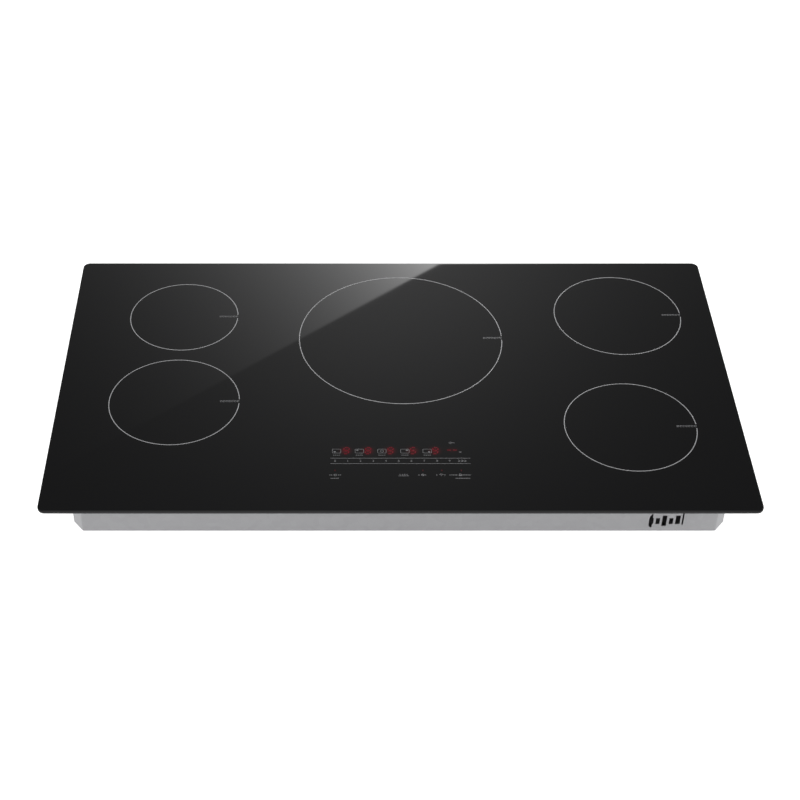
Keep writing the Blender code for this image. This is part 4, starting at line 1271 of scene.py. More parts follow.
def mainsEntry():
    low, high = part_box("junction_cover")
    outline = filleted(rectangle(low.x, low.z, high.x, high.z), 0.003, 6)
    inner = [
        (low.x + (x - low.x) * 0.997 + 0.00015, low.z + (z - low.z) * 0.994 + 0.00015) for x, z in outline
    ]
    steps = ((outline, low.y), (outline, high.y - 0.0002), (inner, high.y))
    rings = [[(x, y, z) for x, z in line] for line, y in steps]
    piece = finish("junction_cover_plate", loft(rings), zincFinish, 30)
    holes = bmesh.new()
    for (x, z), radius in (((0.195, 0.030), conduit["cover"]), (pan["coverScrew"], pan["screwHole"])):
        wallHole(holes, (x, low.y, z), radius, "Y")
    fit(cutAway(piece, holes, 30), "zinc_steel", "junction_cover")
    low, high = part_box("conduit_connector")
    bore, thread, collar, flange = (conduit[key] for key in ("bore", "thread", "collar", "flange"))
    seat = conduit["seat"]
    length = high.y - seat
    profile = [
        (bore, low.y - seat), (thread - 0.0003, low.y - seat), (thread - 0.0001, low.y - seat + 0.0004),
        *[(thread - (0.0006 if k % 2 else 0.0001), low.y - seat + 0.0008 + k * 0.0005) for k in range(18)],
        (thread - 0.0004, 0.0), (flange - 0.0005, 0.0), (flange, 0.0006), (flange, 0.0036), (
            flange - 0.0006, 0.0042,
        ),
        (
            collar + 0.0006, 0.0046,
        ), (collar, 0.0054), (collar, 0.0120), (collar - 0.0007, 0.0126), (collar - 0.0007, 0.0142),
        (collar, 0.0148), (collar, length - 0.0030), (collar - 0.0004, length - 0.0016),
        (
            bore + 0.0018, length - 0.0002,
        ), (bore + 0.0014, length), (bore + 0.0003, length), (bore, length - 0.0004),
    ]
    place = Matrix.Translation(((low.x + high.x) / 2, seat, (low.z + high.z) / 2))
    place = place @ Matrix.Rotation(-math.pi / 2, 4, "X")
    piece = finish("conduit_connector_body", turned(bmesh.new(), profile, 48, place), zincFinish, 30)
    notches, count = bmesh.new(), conduit["notches"]
    for i in range(count):  # for a lock-nut spanner
        spin = place @ Matrix.Rotation(fullTurn * (i + 0.5) / count, 4, "Z")
        extra = softBox(
            bmesh.new(), (flange - 0.0012, -0.0012, -0.001), (flange + 0.002, 0.0012, 0.0055), 0.0002, 1,
        )
        put(notches, extra, spin)
    fit(cutAway(piece, notches, 30), "zinc_steel", "conduit_connector")


for side, direction in (("left", (-1, 0, 0)), ("right", (1, 0, 0))):
    for end in ("front", "rear"):
        seatedScrew(f"case_screw_{side}_{end}", direction)
    seatedScrew(f"bracket_screw_{side}", direction)
    bracket(side)
    clampScrew(side)
seatedScrew("cover_screw", (0, 1, 0))
mainsEntry()
print("outside ready")


# Coils: litz windings, formers with ferrite bars, mica discs and glass sensors

coils = {
    "left_rear": {"centre": (-0.305, 0.137), "radius": 0.072, "angle": 0, "drop": -0.190},
    "left_front": {"centre": (-0.306, -0.053), "radius": 0.084, "angle": 20, "drop": -0.190},
    "centre": {"centre": (0.010, 0.087), "radius": 0.136, "angle": -35, "drop": 0.180},
    "right_rear": {"centre": (0.329, 0.141), "radius": 0.086, "angle": 245, "drop": 0.205},
    "right_front": {"centre": (0.316, -0.105), "radius": 0.083, "angle": 180, "drop": 0.205},
}
winding = {"inner": 0.022, "middle": 0.0580, "wire": 0.0019, "pitch": 0.0039, "twist": 0.028, "lead": 0.0015}
former = {
    "low": 0.0533,
    "high": 0.0557,
    "collarTop": 0.0590,
    "rim": 0.002,
    "hole": 0.016,
    "bars": 8,
    "channel": 0.012,  # width of the channel that holds a bar
    "channelLow": 0.0490,
    "wall": 0.0009,
    "clear": 0.0003,
}
mica = {"hole": 0.0182, "low": 0.0602, "high": 0.0606}


def windingTree():
    # a flat spiral of twisted rope: a lobed section is tilted along the curve
    names = ("Turns", "Inner", "Outer", "Wire", "Twist", "Height")
    tree, given = growTree("litz winding", dict.fromkeys(names, "Float"))
    spiral = addNode(
        tree, "GeometryNodeCurveSpiral",
        {"Resolution": 64, "Rotations": given["Turns"], "Start Radius": given["Inner"],
         "End Radius": given["Outer"], "Height": 0.0},
    ).outputs[0]
    line = addNode(
        tree, "GeometryNodeResampleCurve", {"Curve": spiral, "Length": 0.004}, mode="LENGTH",
    ).outputs[0]
    along = addNode(tree, "GeometryNodeSplineParameter").outputs["Length"]
    tilt = mathNode(tree, "MULTIPLY", mathNode(tree, "DIVIDE", along, given["Twist"]), fullTurn)
    line = addNode(tree, "GeometryNodeSetCurveTilt", {"Curve": line, "Tilt": tilt}).outputs[0]
    inner = mathNode(tree, "MULTIPLY", given["Wire"], 0.86)
    rope = addNode(
        tree, "GeometryNodeCurveStar", {"Points": 5, "Inner Radius": inner, "Outer Radius": given["Wire"]}
    ).outputs[0]
    body = addNode(
        tree, "GeometryNodeCurveToMesh", {"Curve": line, "Profile Curve": rope, "Fill Caps": True},
    ).outputs[0]
    shift = addNode(tree, "ShaderNodeCombineXYZ", {"Z": given["Height"]}).outputs[0]
    body = addNode(tree, "GeometryNodeSetPosition", {"Geometry": body, "Offset": shift}).outputs[0]
    closeTree(tree, body, copperFinish)
    return tree


def ringTree(material):
    # copies round a centre, from one source that lies along X
    tree, given = growTree("ring of parts", {"Part": "Object", "Count": "Int", "Phase": "Float"})
    ring = addNode(tree, "GeometryNodeMeshCircle", {"Vertices": given["Count"], "Radius": 0.001}).outputs[0]
    still = addNode(tree, "GeometryNodeSetPosition", {"Geometry": ring, "Position": (0, 0, 0)}).outputs[0]
    part = addNode(tree, "GeometryNodeObjectInfo", {"Object": given["Part"]}).outputs["Geometry"]
    index = addNode(tree, "GeometryNodeInputIndex").outputs[0]
    share = mathNode(tree, "DIVIDE", mathNode(tree, "ADD", index, given["Phase"]), given["Count"])
    spin = addNode(
        tree, "ShaderNodeCombineXYZ", {"Z": mathNode(tree, "MULTIPLY", share, fullTurn)},
    ).outputs[0]
    turn = addNode(tree, "FunctionNodeEulerToRotation", {"Euler": spin}).outputs[0]
    placed = {"Points": still, "Instance": part, "Rotation": turn}
    closeTree(tree, addNode(tree, "GeometryNodeInstanceOnPoints", placed).outputs[0], material)
    return tree


def ringOfParts(name, part, count, phase, material, place, smooth=35):
    piece = grow(name, ringTree(material), {"Part": part, "Count": count, "Phase": phase}, smooth)
    piece.data.transform(place)
    drop(part)
    return piece


def coilLead(shape, coil, side):
    angle = math.radians(coil["angle"])
    out = Vector((math.cos(angle), math.sin(angle), 0))
    offset = side * 0.004
    middle = winding["middle"]
    leave = Vector((*coil["centre"], middle)) + Vector((0, offset, 0))
    y = coil["centre"][1] + (coil["radius"] + 0.006) * out.y + offset
    toward = math.copysign(1, coil["drop"] - coil["centre"][0])
    points = [
        leave + out * (coil["radius"] - 0.006), leave + out * (coil["radius"] + 0.002),
        (coil["drop"] - toward * 0.012, y, middle), (coil["drop"] - toward * 0.003, y, middle - 0.003),
        (coil["drop"], y, middle - 0.012), (coil["drop"], y, 0.0262), (coil["drop"], y, 0.0162),
    ]
    tube(shape, smoothLine(points, 5), winding["lead"], 10)


def makeCoil(name, coil, spiralTree):
    centre = Matrix.Translation((*coil["centre"], 0))
    radius = coil["radius"]
    inner, outer = winding["inner"] + winding["wire"], radius - winding["wire"]
    values = {
        "Turns": (outer - inner) / winding["pitch"], "Inner": inner, "Outer": outer, "Wire": winding["wire"],
        "Twist": winding["twist"], "Height": winding["middle"],
    }
    piece = grow(f"litz_winding_{name}", spiralTree, values, 60)
    piece.data.transform(centre)
    shape = opened(piece)
    for side in (-1, 1):
        coilLead(shape, coil, side)
    shape.to_mesh(piece.data)
    shape.free()
    piece.data.shade_smooth()
    fit(piece, "copper", f"coil_winding_{name}")

    low, high, hole, top = former["low"], former["high"], former["hole"], former["collarTop"]
    edge, collar = radius + former["rim"], hole + 0.002
    profile = [
        (hole, low), (edge - 0.0003, low), (edge, low + 0.0003), (edge, high - 0.0003), (edge - 0.0003, high),
        (
            collar + 0.0004, high,
        ), (collar, high + 0.0004), (collar, top - 0.0003), (collar - 0.0003, top), (hole, top),
    ]
    shape = turned(bmesh.new(), profile, 72, centre)
    near, far = collar + 0.004, radius - 0.003
    half, thin, foot, bars = former["channel"] / 2, former["wall"], former["channelLow"], former["bars"]
    for i in range(bars):
        spin = centre @ Matrix.Rotation(fullTurn * (i + 0.5) / bars, 4, "Z")
        walls = [((near, -half, foot), (far, thin - half)), ((near, half - thin, foot), (far, half))]
        walls += [((x, -half, foot + 0.0012), (x + thin, half)) for x in (near, far - thin)]
        for corner, opposite in walls:
            put(shape, softBox(bmesh.new(), corner, (*opposite, low + 0.0004), 0.00015, 1), spin)
    for k in range(1, 4):  # ribs round the underside
        rib = near + (far - near) * k / 4
        turned(shape, rectangle(rib, low - 0.0008, rib + 0.0012, low + 0.0004), 72, centre)
    fit(finish(f"coil_tray_{name}", shape, nylonFinish, 30), "black_plastic", f"coil_former_{name}")
    clear = former["clear"]
    inset = thin + clear
    end = (far - inset, half - inset, low - 0.0009)
    bar = softBox(bmesh.new(), (near + inset, -half + inset, foot + clear), end, 0.0004, 2)
    fit(ringOfParts(f"ferrite_bars_{name}", source(bar), bars, 0.5, ferriteFinish, centre), "ceramic")

    disc = rectangle(mica["hole"], mica["low"], radius + 0.001, mica["high"])
    fit(finish(f"mica_disc_{name}", turned(bmesh.new(), disc, 72, centre), micaFinish, 30), "white_plastic")

    low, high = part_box(f"temperature_sensor_{name}")
    base, cap = low.z, high.z
    profile = [
        (0, base), (0.0132, base), (0.0138, base + 0.0005), (0.0138, base + 0.0009), (0.0133, base + 0.0012),
        (0.0088, base + 0.0014), (0.0088, cap - 0.0040), (0.0084, cap - 0.0036), (0.0084, cap - 0.0030),
        (0.0088, cap - 0.0026), (0.0088, cap - 0.0018), (0.0070, cap - 0.0001), (0, cap),
    ]
    shape = turned(bmesh.new(), profile, 40, centre)
    fit(
        finish(f"glass_sensor_{name}", shape, steatiteFinish, 30), "white_plastic",
        f"temperature_sensor_{name}",
    )


# Springs under the coil plates

springSizes = {"radius": 0.0054, "wire": 0.0006, "turns": 4}


def springTree():
    # an open helix with a flat closed coil at each end
    names = ("Turns", "Radius", "Wire", "Low", "Rise")
    tree, given = growTree("compression spring", dict.fromkeys(names, "Float"))
    helix = addNode(
        tree, "GeometryNodeCurveSpiral",
        {"Resolution": 36, "Rotations": given["Turns"], "Start Radius": given["Radius"],
         "End Radius": given["Radius"], "Height": 0.0},
    ).outputs[0]
    factor = addNode(tree, "GeometryNodeSplineParameter").outputs["Factor"]
    dead = mathNode(tree, "DIVIDE", 0.5, given["Turns"])
    last = mathNode(tree, "SUBTRACT", 1.0, dead)
    rise = {"Value": factor, "From Min": dead, "From Max": last, "To Min": 0.0, "To Max": given["Rise"]}
    lift = addNode(tree, "ShaderNodeMapRange", rise, interpolation_type="SMOOTHSTEP").outputs["Result"]
    shift = addNode(tree, "ShaderNodeCombineXYZ", {"Z": mathNode(tree, "ADD", lift, given["Low"])}).outputs[0]
    helix = addNode(tree, "GeometryNodeSetPosition", {"Geometry": helix, "Offset": shift}).outputs[0]
    section = addNode(
        tree, "GeometryNodeCurvePrimitiveCircle", {"Resolution": 10, "Radius": given["Wire"]},
    ).outputs[0]
    wire = addNode(
        tree, "GeometryNodeCurveToMesh", {"Curve": helix, "Profile Curve": section, "Fill Caps": True},
    ).outputs[0]
    closeTree(tree, wire, springFinish)
    return tree


def makeSpring(name, tree):
    low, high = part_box(name)
    size = springSizes
    values = {
        "Turns": float(size["turns"]), "Radius": size["radius"], "Wire": size["wire"],
        "Low": low.z + size["wire"], "Rise": high.z - low.z - 2 * size["wire"],
    }
    piece = grow(f"{name}_coil", tree, values, 60)
    middle = (low + high) / 2
    piece.data.transform(Matrix.Translation((middle.x, middle.y, 0)))
    fit(piece, "zinc_steel", name)


spiralTree = windingTree()
for coilName, coil in coils.items():
    makeCoil(coilName, coil, spiralTree)
helixTree = springTree()
for plate in ("left", "centre", "right"):
    for i in (1, 2, 3):
        makeSpring(f"plate_spring_{plate}_{i}", helixTree)
print("coils ready")


# Power boards

board = {
    "low": 0.0080,
    "top": 0.0096,
    "floor": 0.0013,
    "corners": ((0.170, -0.195), (0.400, 0.072)),
    "filterCorners": ((-0.125, 0.085), (0.135, 0.205)),
}
sink = {
    "x": (0.330, 0.395), "y": (-0.170, 0.060), "base": (0.014, 0.018), "top": 0.040, "fins": 11,
    "fin": 0.0016,
}
# places on the right power board; the left one is the same, turned half round
power = {
    "underSink": (0.3265, -0.172, 0.3985, 0.062),
    "lugTop": 0.0159,
    "supply": (0.1775, 0.040, 0.188, 0.060),
    "supplyTop": 0.0200,
    # x, ys, half width, half length, height
    "films": (0.246, (-0.150, -0.100, -0.050, 0.000), 0.010, 0.016, 0.026),
    "cans": (0.290, (-0.060, -0.034, -0.008), 0.0088, 0.028),  # x, ys, radius, height
    "chokes": (0.292, (-0.150, -0.105), 0.013, 0.019, 22),  # x, ys, radius, height, turns
    "transistors": (-0.140, -0.085, -0.030, 0.025),
    "legPitch": 0.0054,
    "seeds": {"left": 7, "right": 11},
}


def laminate(shape, low, high):
    bottom, floor = board["low"], board["floor"]
    put(shape, slab(filleted(rectangle(*low, *high), 0.002, 4), bottom, board["top"]))
    foot = [
        (0, floor), (0.0037, floor), (0.0040, floor + 0.0003), (0.0030, bottom - 0.001),
        (0.0030, bottom + 0.0003), (0, bottom + 0.0003),
    ]
    for x in (low[0] + 0.008, high[0] - 0.008):
        for y in (low[1] + 0.008, high[1] - 0.008):
            turned(shape, foot, 20, Matrix.Translation((x, y, 0)))
    return shape


def chipTree():
    # small chips and resistors, scattered with one seed and turned square
    sockets = {"Part": "Object", "Width": "Float", "Depth": "Float", "Density": "Float", "Seed": "Int"}
    tree, given = growTree("scattered chips", sockets)
    size = {"Size X": given["Width"], "Size Y": given["Depth"], "Vertices X": 2, "Vertices Y": 2}
    sheet = addNode(tree, "GeometryNodeMeshGrid", size).outputs[0]
    points = addNode(
        tree, "GeometryNodeDistributePointsOnFaces",
        {"Mesh": sheet, "Distance Min": 0.0052, "Density Max": given["Density"], "Seed": given["Seed"]},
        distribute_method="POISSON",
    ).outputs["Points"]
    # 4 and 5 are the whole-number sockets for the least and the most quarter turns
    quarter = addNode(tree, "FunctionNodeRandomValue", {4: 0, 5: 3, "Seed": given["Seed"]}, data_type="INT")
    angle = mathNode(tree, "MULTIPLY", quarter.outputs[2], math.pi / 2)
    spin = addNode(tree, "ShaderNodeCombineXYZ", {"Z": angle}).outputs[0]
    turn = addNode(tree, "FunctionNodeEulerToRotation", {"Euler": spin}).outputs[0]
    part = addNode(tree, "GeometryNodeObjectInfo", {"Object": given["Part"]}).outputs["Geometry"]
    placed = {"Points": points, "Instance": part, "Rotation": turn}
    closeTree(tree, addNode(tree, "GeometryNodeInstanceOnPoints", placed).outputs[0], epoxyFinish)
    return tree


def scatterChips(name, low, high, seed, place, clear=()):
    # chips that would stand under a bigger part are left out
    part = softBox(bmesh.new(), (-0.0013, -0.0008, 0), (0.0013, 0.0008, 0.0007), 0.00012, 1)
    for side in (-1, 1):
        softBox(
            part, (side * 0.0013 - 0.0003, -0.0009, 0), (side * 0.0013 + 0.0003, 0.0009, 0.0006), 0.0001, 1,
        )
    part = source(part)
    width, depth = high[0] - low[0] - 0.02, high[1] - low[1] - 0.02
    values = {"Part": part, "Width": width, "Depth": depth, "Density": 9000.0, "Seed": seed}
    piece = grow(name, chipTree(), values)
    middle = ((low[0] + high[0]) / 2, (low[1] + high[1]) / 2, board["top"])
    piece.data.transform(Matrix.Translation(middle))
    shape = opened(piece)
    loose = set(shape.verts)
    gone = []
    while loose:
        island, stack = [], [loose.pop()]
        while stack:
            vert = stack.pop()
            island.append(vert)
            for edge in vert.link_edges:
                other = edge.other_vert(vert)
                if other in loose:
                    loose.discard(other)
                    stack.append(other)
        x = sum(v.co.x for v in island) / len(island)
        y = sum(v.co.y for v in island) / len(island)
        if any(x0 - 0.003 < x < x1 + 0.003 and y0 - 0.003 < y < y1 + 0.003 for x0, y0, x1, y1 in clear):
            gone += island
    bmesh.ops.delete(shape, geom=gone, context="VERTS")
    shape.to_mesh(piece.data)
    shape.free()
    piece.data.transform(place)
    drop(part)
    fit(piece, "circuit_board")


def can(shape, centre, radius, height):
    # an electrolytic capacitor: sleeve with a rolled groove near its foot and a scored top
    x, y = centre
    low = board["top"] - 0.0002
    profile = [
        (0, low), (radius - 0.0006, low), (radius, low + 0.0006), (radius, low + 0.0024), (
            radius - 0.0007, low + 0.0030,
        ),
        (radius, low + 0.0036), (radius, low + height - 0.0009), (radius - 0.0004, low + height),
        (radius - 0.0014, low + height), (radius - 0.0017, low + height - 0.0004), (0, low + height - 0.0004),
    ]
    turned(shape, profile, 36, Matrix.Translation((x, y, 0)))


def toroid(core, coil, centre, radius, height, turns):
    # a ring core with round wire wound through it
    x, y = centre
    low, top = board["top"] + 0.0006, board["top"] + height - 0.0010
    inner, wire = radius * 0.42, 0.0008
    outer = radius - 2 * wire
    edge = 0.0006
    profile = [
        (
            inner, low + edge,
        ), (inner + edge, low), (outer - edge, low), (outer, low + edge), (outer, top - edge),
        (outer - edge, top), (inner + edge, top), (inner, top - edge),
    ]
    centre = Matrix.Translation((x, y, 0))
    turned(core, profile, 48, centre)
    far, near = outer + wire * 0.95, inner - wire * 0.95
    below, above = low - wire * 0.7, top + wire * 0.95
    loop = filleted([(far, below), (far, above), (near, above), (near, below)], 0.0009, 3, closed=False)
    for i in range(turns):
        spin = Matrix.Rotation(fullTurn * i / turns, 4, "Z")
        tube(coil, [(r, 0, z) for r, z in loop], wire, 6, centre @ spin)


def terminalLug(shape, x, y, top):
    # a tinned block with a screw on each end for one pair of leads
    end = (x + 0.0048, y + 0.0098, top - 0.0010)
    softBox(shape, (x - 0.0048, y - 0.0098, board["top"] - 0.0003), end, 0.0005, 2)
    head = [
        (0, top - 0.0012), (0.0024, top - 0.0012), (0.0024, top - 0.0003), (0.0021, top),
        (0.0010, top), (0.0008, top - 0.0004), (0, top - 0.0004),
    ]
    for side in (-1, 1):
        turned(shape, head, 20, Matrix.Translation((x, y + side * 0.004, 0)))


def powerBoard(side):
    place = Matrix() if side == "right" else halfTurn
    name = f"inverter_board_{side}"
    low, high = board["corners"]
    busy = [power["underSink"], (0.1805, -0.170, 0.192, -0.150), (0.1765, 0.039, 0.189, 0.061)]
    sunk = board["top"] - 0.0003

    def seat(label, shape, look, slot, *replaced, smooth=30):
        shape.transform(place)
        fit(finish(label, shape, look, smooth), slot, *replaced)

    seat(f"{name}_laminate", laminate(bmesh.new(), low, high), maskFinish, "circuit_board", name)

    lugs = bmesh.new()
    for coil in coils.values():
        if (coil["drop"] > 0) == (side == "right"):
            y = coil["centre"][1] + (coil["radius"] + 0.006) * math.sin(math.radians(coil["angle"]))
            x, y, _ = place @ Vector((coil["drop"], y, 0))
            terminalLug(lugs, x, y, power["lugTop"])
            busy.append((x - 0.005, y - 0.010, x + 0.005, y + 0.010))
    seat(f"lead_terminals_{side}", lugs, tinFinish, "zinc_steel")

    left, front, right, back = power["supply"]
    supply = softBox(bmesh.new(), (left, front, sunk), (right, back, power["supplyTop"]), 0.0006, 2)
    seat(f"supply_terminals_{side}", supply, nylonFinish, "black_plastic")

    films = bmesh.new()
    x, rows, wide, long, tall = power["films"]
    for y in rows:
        softBox(films, (x - wide, y - long, sunk), (x + wide, y + long, board["top"] + tall), 0.0008, 3)
        busy.append((x - wide, y - long, x + wide, y + long))
    seat(f"film_capacitors_{side}", films, filmFinish, "black_plastic")

    cans = bmesh.new()
    x, rows, radius, tall = power["cans"]
    for y in rows:
        can(cans, (x, y), radius, tall)
        busy.append((x - 0.009, y - 0.009, x + 0.009, y + 0.009))
    seat(f"electrolytics_{side}", cans, sleeveFinish, "black_plastic")

    core, wire = bmesh.new(), bmesh.new()
    x, rows, radius, tall, turns = power["chokes"]
    for y in rows:
        toroid(core, wire, (x, y), radius, tall, turns)
        busy.append((x - radius, y - radius, x + radius, y + radius))
    seat(f"choke_core_{side}", core, ferriteFinish, "ceramic", smooth=40)
    seat(f"choke_wire_{side}", wire, copperFinish, "copper", smooth=40)

    chips = bmesh.new()
    for y in power["transistors"]:
        softBox(chips, (0.352, y - 0.0078, 0.0112), (0.372, y + 0.0078, 0.0136), 0.0004, 1)
        for k in (-1, 0, 1):
            leg = y + k * power["legPitch"]
            route = ((0.352, 0.0122), (0.3500, 0.0122), (0.3492, 0.0114), (0.3492, 0.0094))
            tube(chips, [(x, leg, z) for x, z in route], 0.0005, 6)
    # the socket of the ribbon: floor, back, roof and two cheeks
    softBox(chips, (0.183, -0.1695, sunk), (0.192, -0.1505, 0.0150), 0.0005, 2)
    softBox(chips, (0.1808, -0.1695, sunk), (0.1832, -0.1505, 0.0152), 0.0003, 1)
    softBox(chips, (0.1808, -0.1695, 0.0178), (0.192, -0.1505, 0.0186), 0.0003, 1)
    for y in (-0.1693, -0.1517):
        softBox(chips, (0.183, y, 0.0146), (0.192, y + 0.0010, 0.0181), 0.0002, 1)
    seat(f"transistors_{side}", chips, epoxyFinish, "black_plastic")
    scatterChips(f"small_parts_{side}", low, high, power["seeds"][side], place, busy)


def finTree():
    tree, given = growTree("row of fins", {"Part": "Object", "Count": "Int", "Pitch": "Float"})
    step = addNode(tree, "ShaderNodeCombineXYZ", {"X": given["Pitch"]}).outputs[0]
    line = addNode(tree, "GeometryNodeMeshLine", {"Count": given["Count"], "Offset": step}).outputs[0]
    part = addNode(tree, "GeometryNodeObjectInfo", {"Object": given["Part"]}).outputs["Geometry"]
    fins = addNode(tree, "GeometryNodeInstanceOnPoints", {"Points": line, "Instance": part}).outputs[0]
    closeTree(tree, fins, aluminiumFinish)
    return tree


def heatSink(side):
    place = Matrix() if side == "right" else halfTurn
    (left, right), (front, back) = sink["x"], sink["y"]
    thick, fins = sink["fin"], sink["fins"]
    pitch = (right - left - thick) / (fins - 1)
    half, low, top = thick / 2, sink["base"][1] - 0.0006, sink["top"]
    flank = [(half * 0.98, low + 0.002), (half * 0.62, top - 0.0008), (half * 0.35, top - 0.0002)]
    section = [(-half, low), (half, low), *flank, (0, top), *[(-x, z) for x, z in flank[::-1]]]
    fin = source(loft([[(left + half + x, y, z) for x, z in section] for y in (front, back)]))
    piece = grow(f"heat_sink_{side}_extrusion", finTree(), {"Part": fin, "Count": fins, "Pitch": pitch}, 40)
    drop(fin)
    shape = opened(piece)
    softBox(shape, (left, front, sink["base"][0]), (right, back, sink["base"][1]), 0.0004, 2)
    shape.transform(place)
    closed(piece, shape, 30)
    fit(piece, "aluminium", f"heat_sink_{side}")


for side in ("left", "right"):
    powerBoard(side)
    heatSink(side)
print("power boards ready")


# Blowers

blower = {
    "centre": (0.345, 0.135),
    "small": 0.0435,
    "large": 0.055,
    "start": -75,
    "outlet": 0.060,
    "low": 0.0013,
    "top": 0.0340,
    "wall": 0.0015,
    "inlet": 0.030,
    "wheel": 0.0385,
    "blades": 12,
    "bladeInner": 0.029,
    "ring": (0.0042, 0.0060),  # low and high edge of the ring under the blades
    "disc": (0.0240, 0.0255),
    "stator": 0.0115,
    "flange": 0.020,
    "bore": 0.0019,
    "shaft": 0.0015,
    "cup": (0.0135, 0.0150),
}


def voluteOutline(inset, past=0.0):
    count = 95
    outline = []
    for i in range(count + 1):
        angle = math.radians(blower["start"] - i * (360 + blower["start"]) / count)
        radius = blower["small"] + (blower["large"] - blower["small"]) * i / count - inset
        outline.append((radius * math.cos(angle), radius * math.sin(angle)))
    tongue = blower["small"] * math.cos(math.radians(blower["start"])) + inset
    outlet = -blower["outlet"] - past
    return [*outline, (blower["large"] - inset, outlet), (tongue, outlet)]


def makeBlower(side):
    half = Matrix() if side == "right" else halfTurn
    place = half @ Matrix.Translation((*blower["centre"], 0))
    low, top, wall = blower["low"], blower["top"], blower["wall"]
    edge = [(0.0010, 0), (0.0003, 0.0003), (0, 0.0010)]
    levels = [(inset, low + z) for inset, z in edge] + [(inset, top - z) for inset, z in edge[::-1]]
    shell = loft([[(x, y, z) for x, y in voluteOutline(inset)] for inset, z in levels])
    piece = finish(f"fan_housing_{side}_shell", shell, nylonFinish, 30)
    cutAway(piece, slab(voluteOutline(wall, 0.004), low + wall, top - wall))
    inlet = blower["inlet"]
    mouth = [
        (0, low - 0.001), (inlet + 0.0010, low - 0.001), (inlet + 0.0010, low),
        (inlet, low + 0.0008), (inlet, low + wall + 0.001), (0, low + wall + 0.001),
    ]
    cutAway(piece, turned(bmesh.new(), mouth, 64))
    piece.data.transform(place)
    fit(piece, "black_plastic", f"fan_housing_{side}")

    ceiling = top - wall - 0.0003
    bore, stator, flange = blower["bore"], blower["stator"], blower["flange"]
    profile = [
        (0, 0.026), (bore, 0.026), (bore, 0.0113), (bore + 0.0003, 0.011), (
            stator - 0.0005, 0.011,
        ), (stator, 0.0115),
        *[(stator - (0.0006 if k % 2 else 0.0), 0.0125 + k * 0.0012) for k in range(14)], (stator, 0.030),
        (flange - 0.0004, 0.030), (flange, 0.0304), (
            flange, ceiling - 0.0003,
        ), (flange - 0.0003, ceiling), (0, ceiling),
    ]
    shape = turned(bmesh.new(), profile, 40, place)
    fit(finish(f"fan_motor_{side}_stator", shape, zincFinish, 30), "zinc_steel", f"fan_motor_{side}")

    shaft, (cupInner, cup), rim = blower["shaft"], blower["cup"], blower["wheel"]
    discLow, discHigh = blower["disc"]
    profile = [
        (0, 0.008), (cup - 0.0010, 0.008), (cup - 0.0003, 0.0083), (cup, 0.0090), (cup, discLow - 0.0008),
        (cup + 0.0008, discLow), (rim - 0.0003, discLow), (rim, discLow + 0.0003), (rim, discHigh - 0.0003),
        (rim - 0.0003, discHigh), (
            cupInner + 0.0004, discHigh,
        ), (cupInner, discHigh - 0.0004), (cupInner, 0.0095),
        (shaft, 0.0095), (shaft, 0.0243), (shaft - 0.0002, 0.0245), (0, 0.0245),
    ]
    inner = blower["bladeInner"]
    under, over = blower["ring"]
    ring = [
        (inner, under + 0.0002), (inner + 0.0002, under), (rim - 0.0002, under), (rim, under + 0.0002),
        (rim, over - 0.0002), (rim - 0.0002, over), (inner + 0.0002, over), (inner, over - 0.0002),
    ]
    # one forward-curved blade: a thin arc in plan, thinner at both ends
    middle, chord, slant = (inner + rim) / 2, 0.0044, math.radians(35)
    front, back = [], []
    for k in range(9):
        t = k / 8 * 2 - 1
        thick = 0.00048 * (1 - 0.55 * t * t)
        bow = 0.0011 * (1 - t * t) - 0.0004
        front.append((t * chord, bow + thick))
        back.append((t * chord, bow - thick))
    turn = Matrix.Translation((middle, 0, 0)) @ Matrix.Rotation(slant, 4, "Z")
    blade = slab([*back, *front[::-1]], 0.0052, discLow + 0.0004)
    blade.transform(turn)
    name = f"fan_impeller_{side}_wheel"
    piece = ringOfParts(name, source(blade), blower["blades"], 0.25, nylonFinish, Matrix(), 40)
    shape = opened(piece)
    turned(shape, profile, 56)
    turned(shape, ring, 56)
    shape.transform(place)
    closed(piece, shape, 35)
    fit(piece, "black_plastic", f"fan_impeller_{side}", on=f"{side}_blower_wheel")


makeBlower("left")
makeBlower("right")
print("blowers ready")


# Mains filter, terminal block and the wires between boards

entry = {"x": 0.195, "wells": (-0.0185, 0, 0.0185)}
# places on the filter board: left, front, right and back, then the height
mains = {
    "cases": ((-0.070, 0.105, -0.040, 0.125, 0.022), (-0.070, 0.160, -0.040, 0.180, 0.022)),
    "relays": ((0.030, 0.100, 0.058, 0.116, 0.018), (0.030, 0.170, 0.058, 0.186, 0.018)),
    "lugs": (
        (0.118, 0.130, 0.131, 0.170, 0.012, 3),
        (0.118, 0.092, 0.131, 0.118, 0.010, 2),
        (-0.122, 0.120, -0.110, 0.146, 0.010, 2),
    ),
    "chokes": (((-0.004, 0.120), (-0.004, 0.168)), 0.018, 0.024, 26),
    "can": ((0.088, 0.145), 0.0118, 0.028),
    "seed": 5,
}
lugScrew = [
    (0, 0), (0.0026, 0), (0.0026, 0.0008), (0.0023, 0.0011), (0.0009, 0.0011), (0.0007, 0.0007), (0, 0.0007),
]
blockScrew = [
    (0, 0), (0.0036, 0), (0.0036, 0.0016), (0.0032, 0.0020), (0.0011, 0.0020), (0.0008, 0.0012), (0, 0.0012),
]


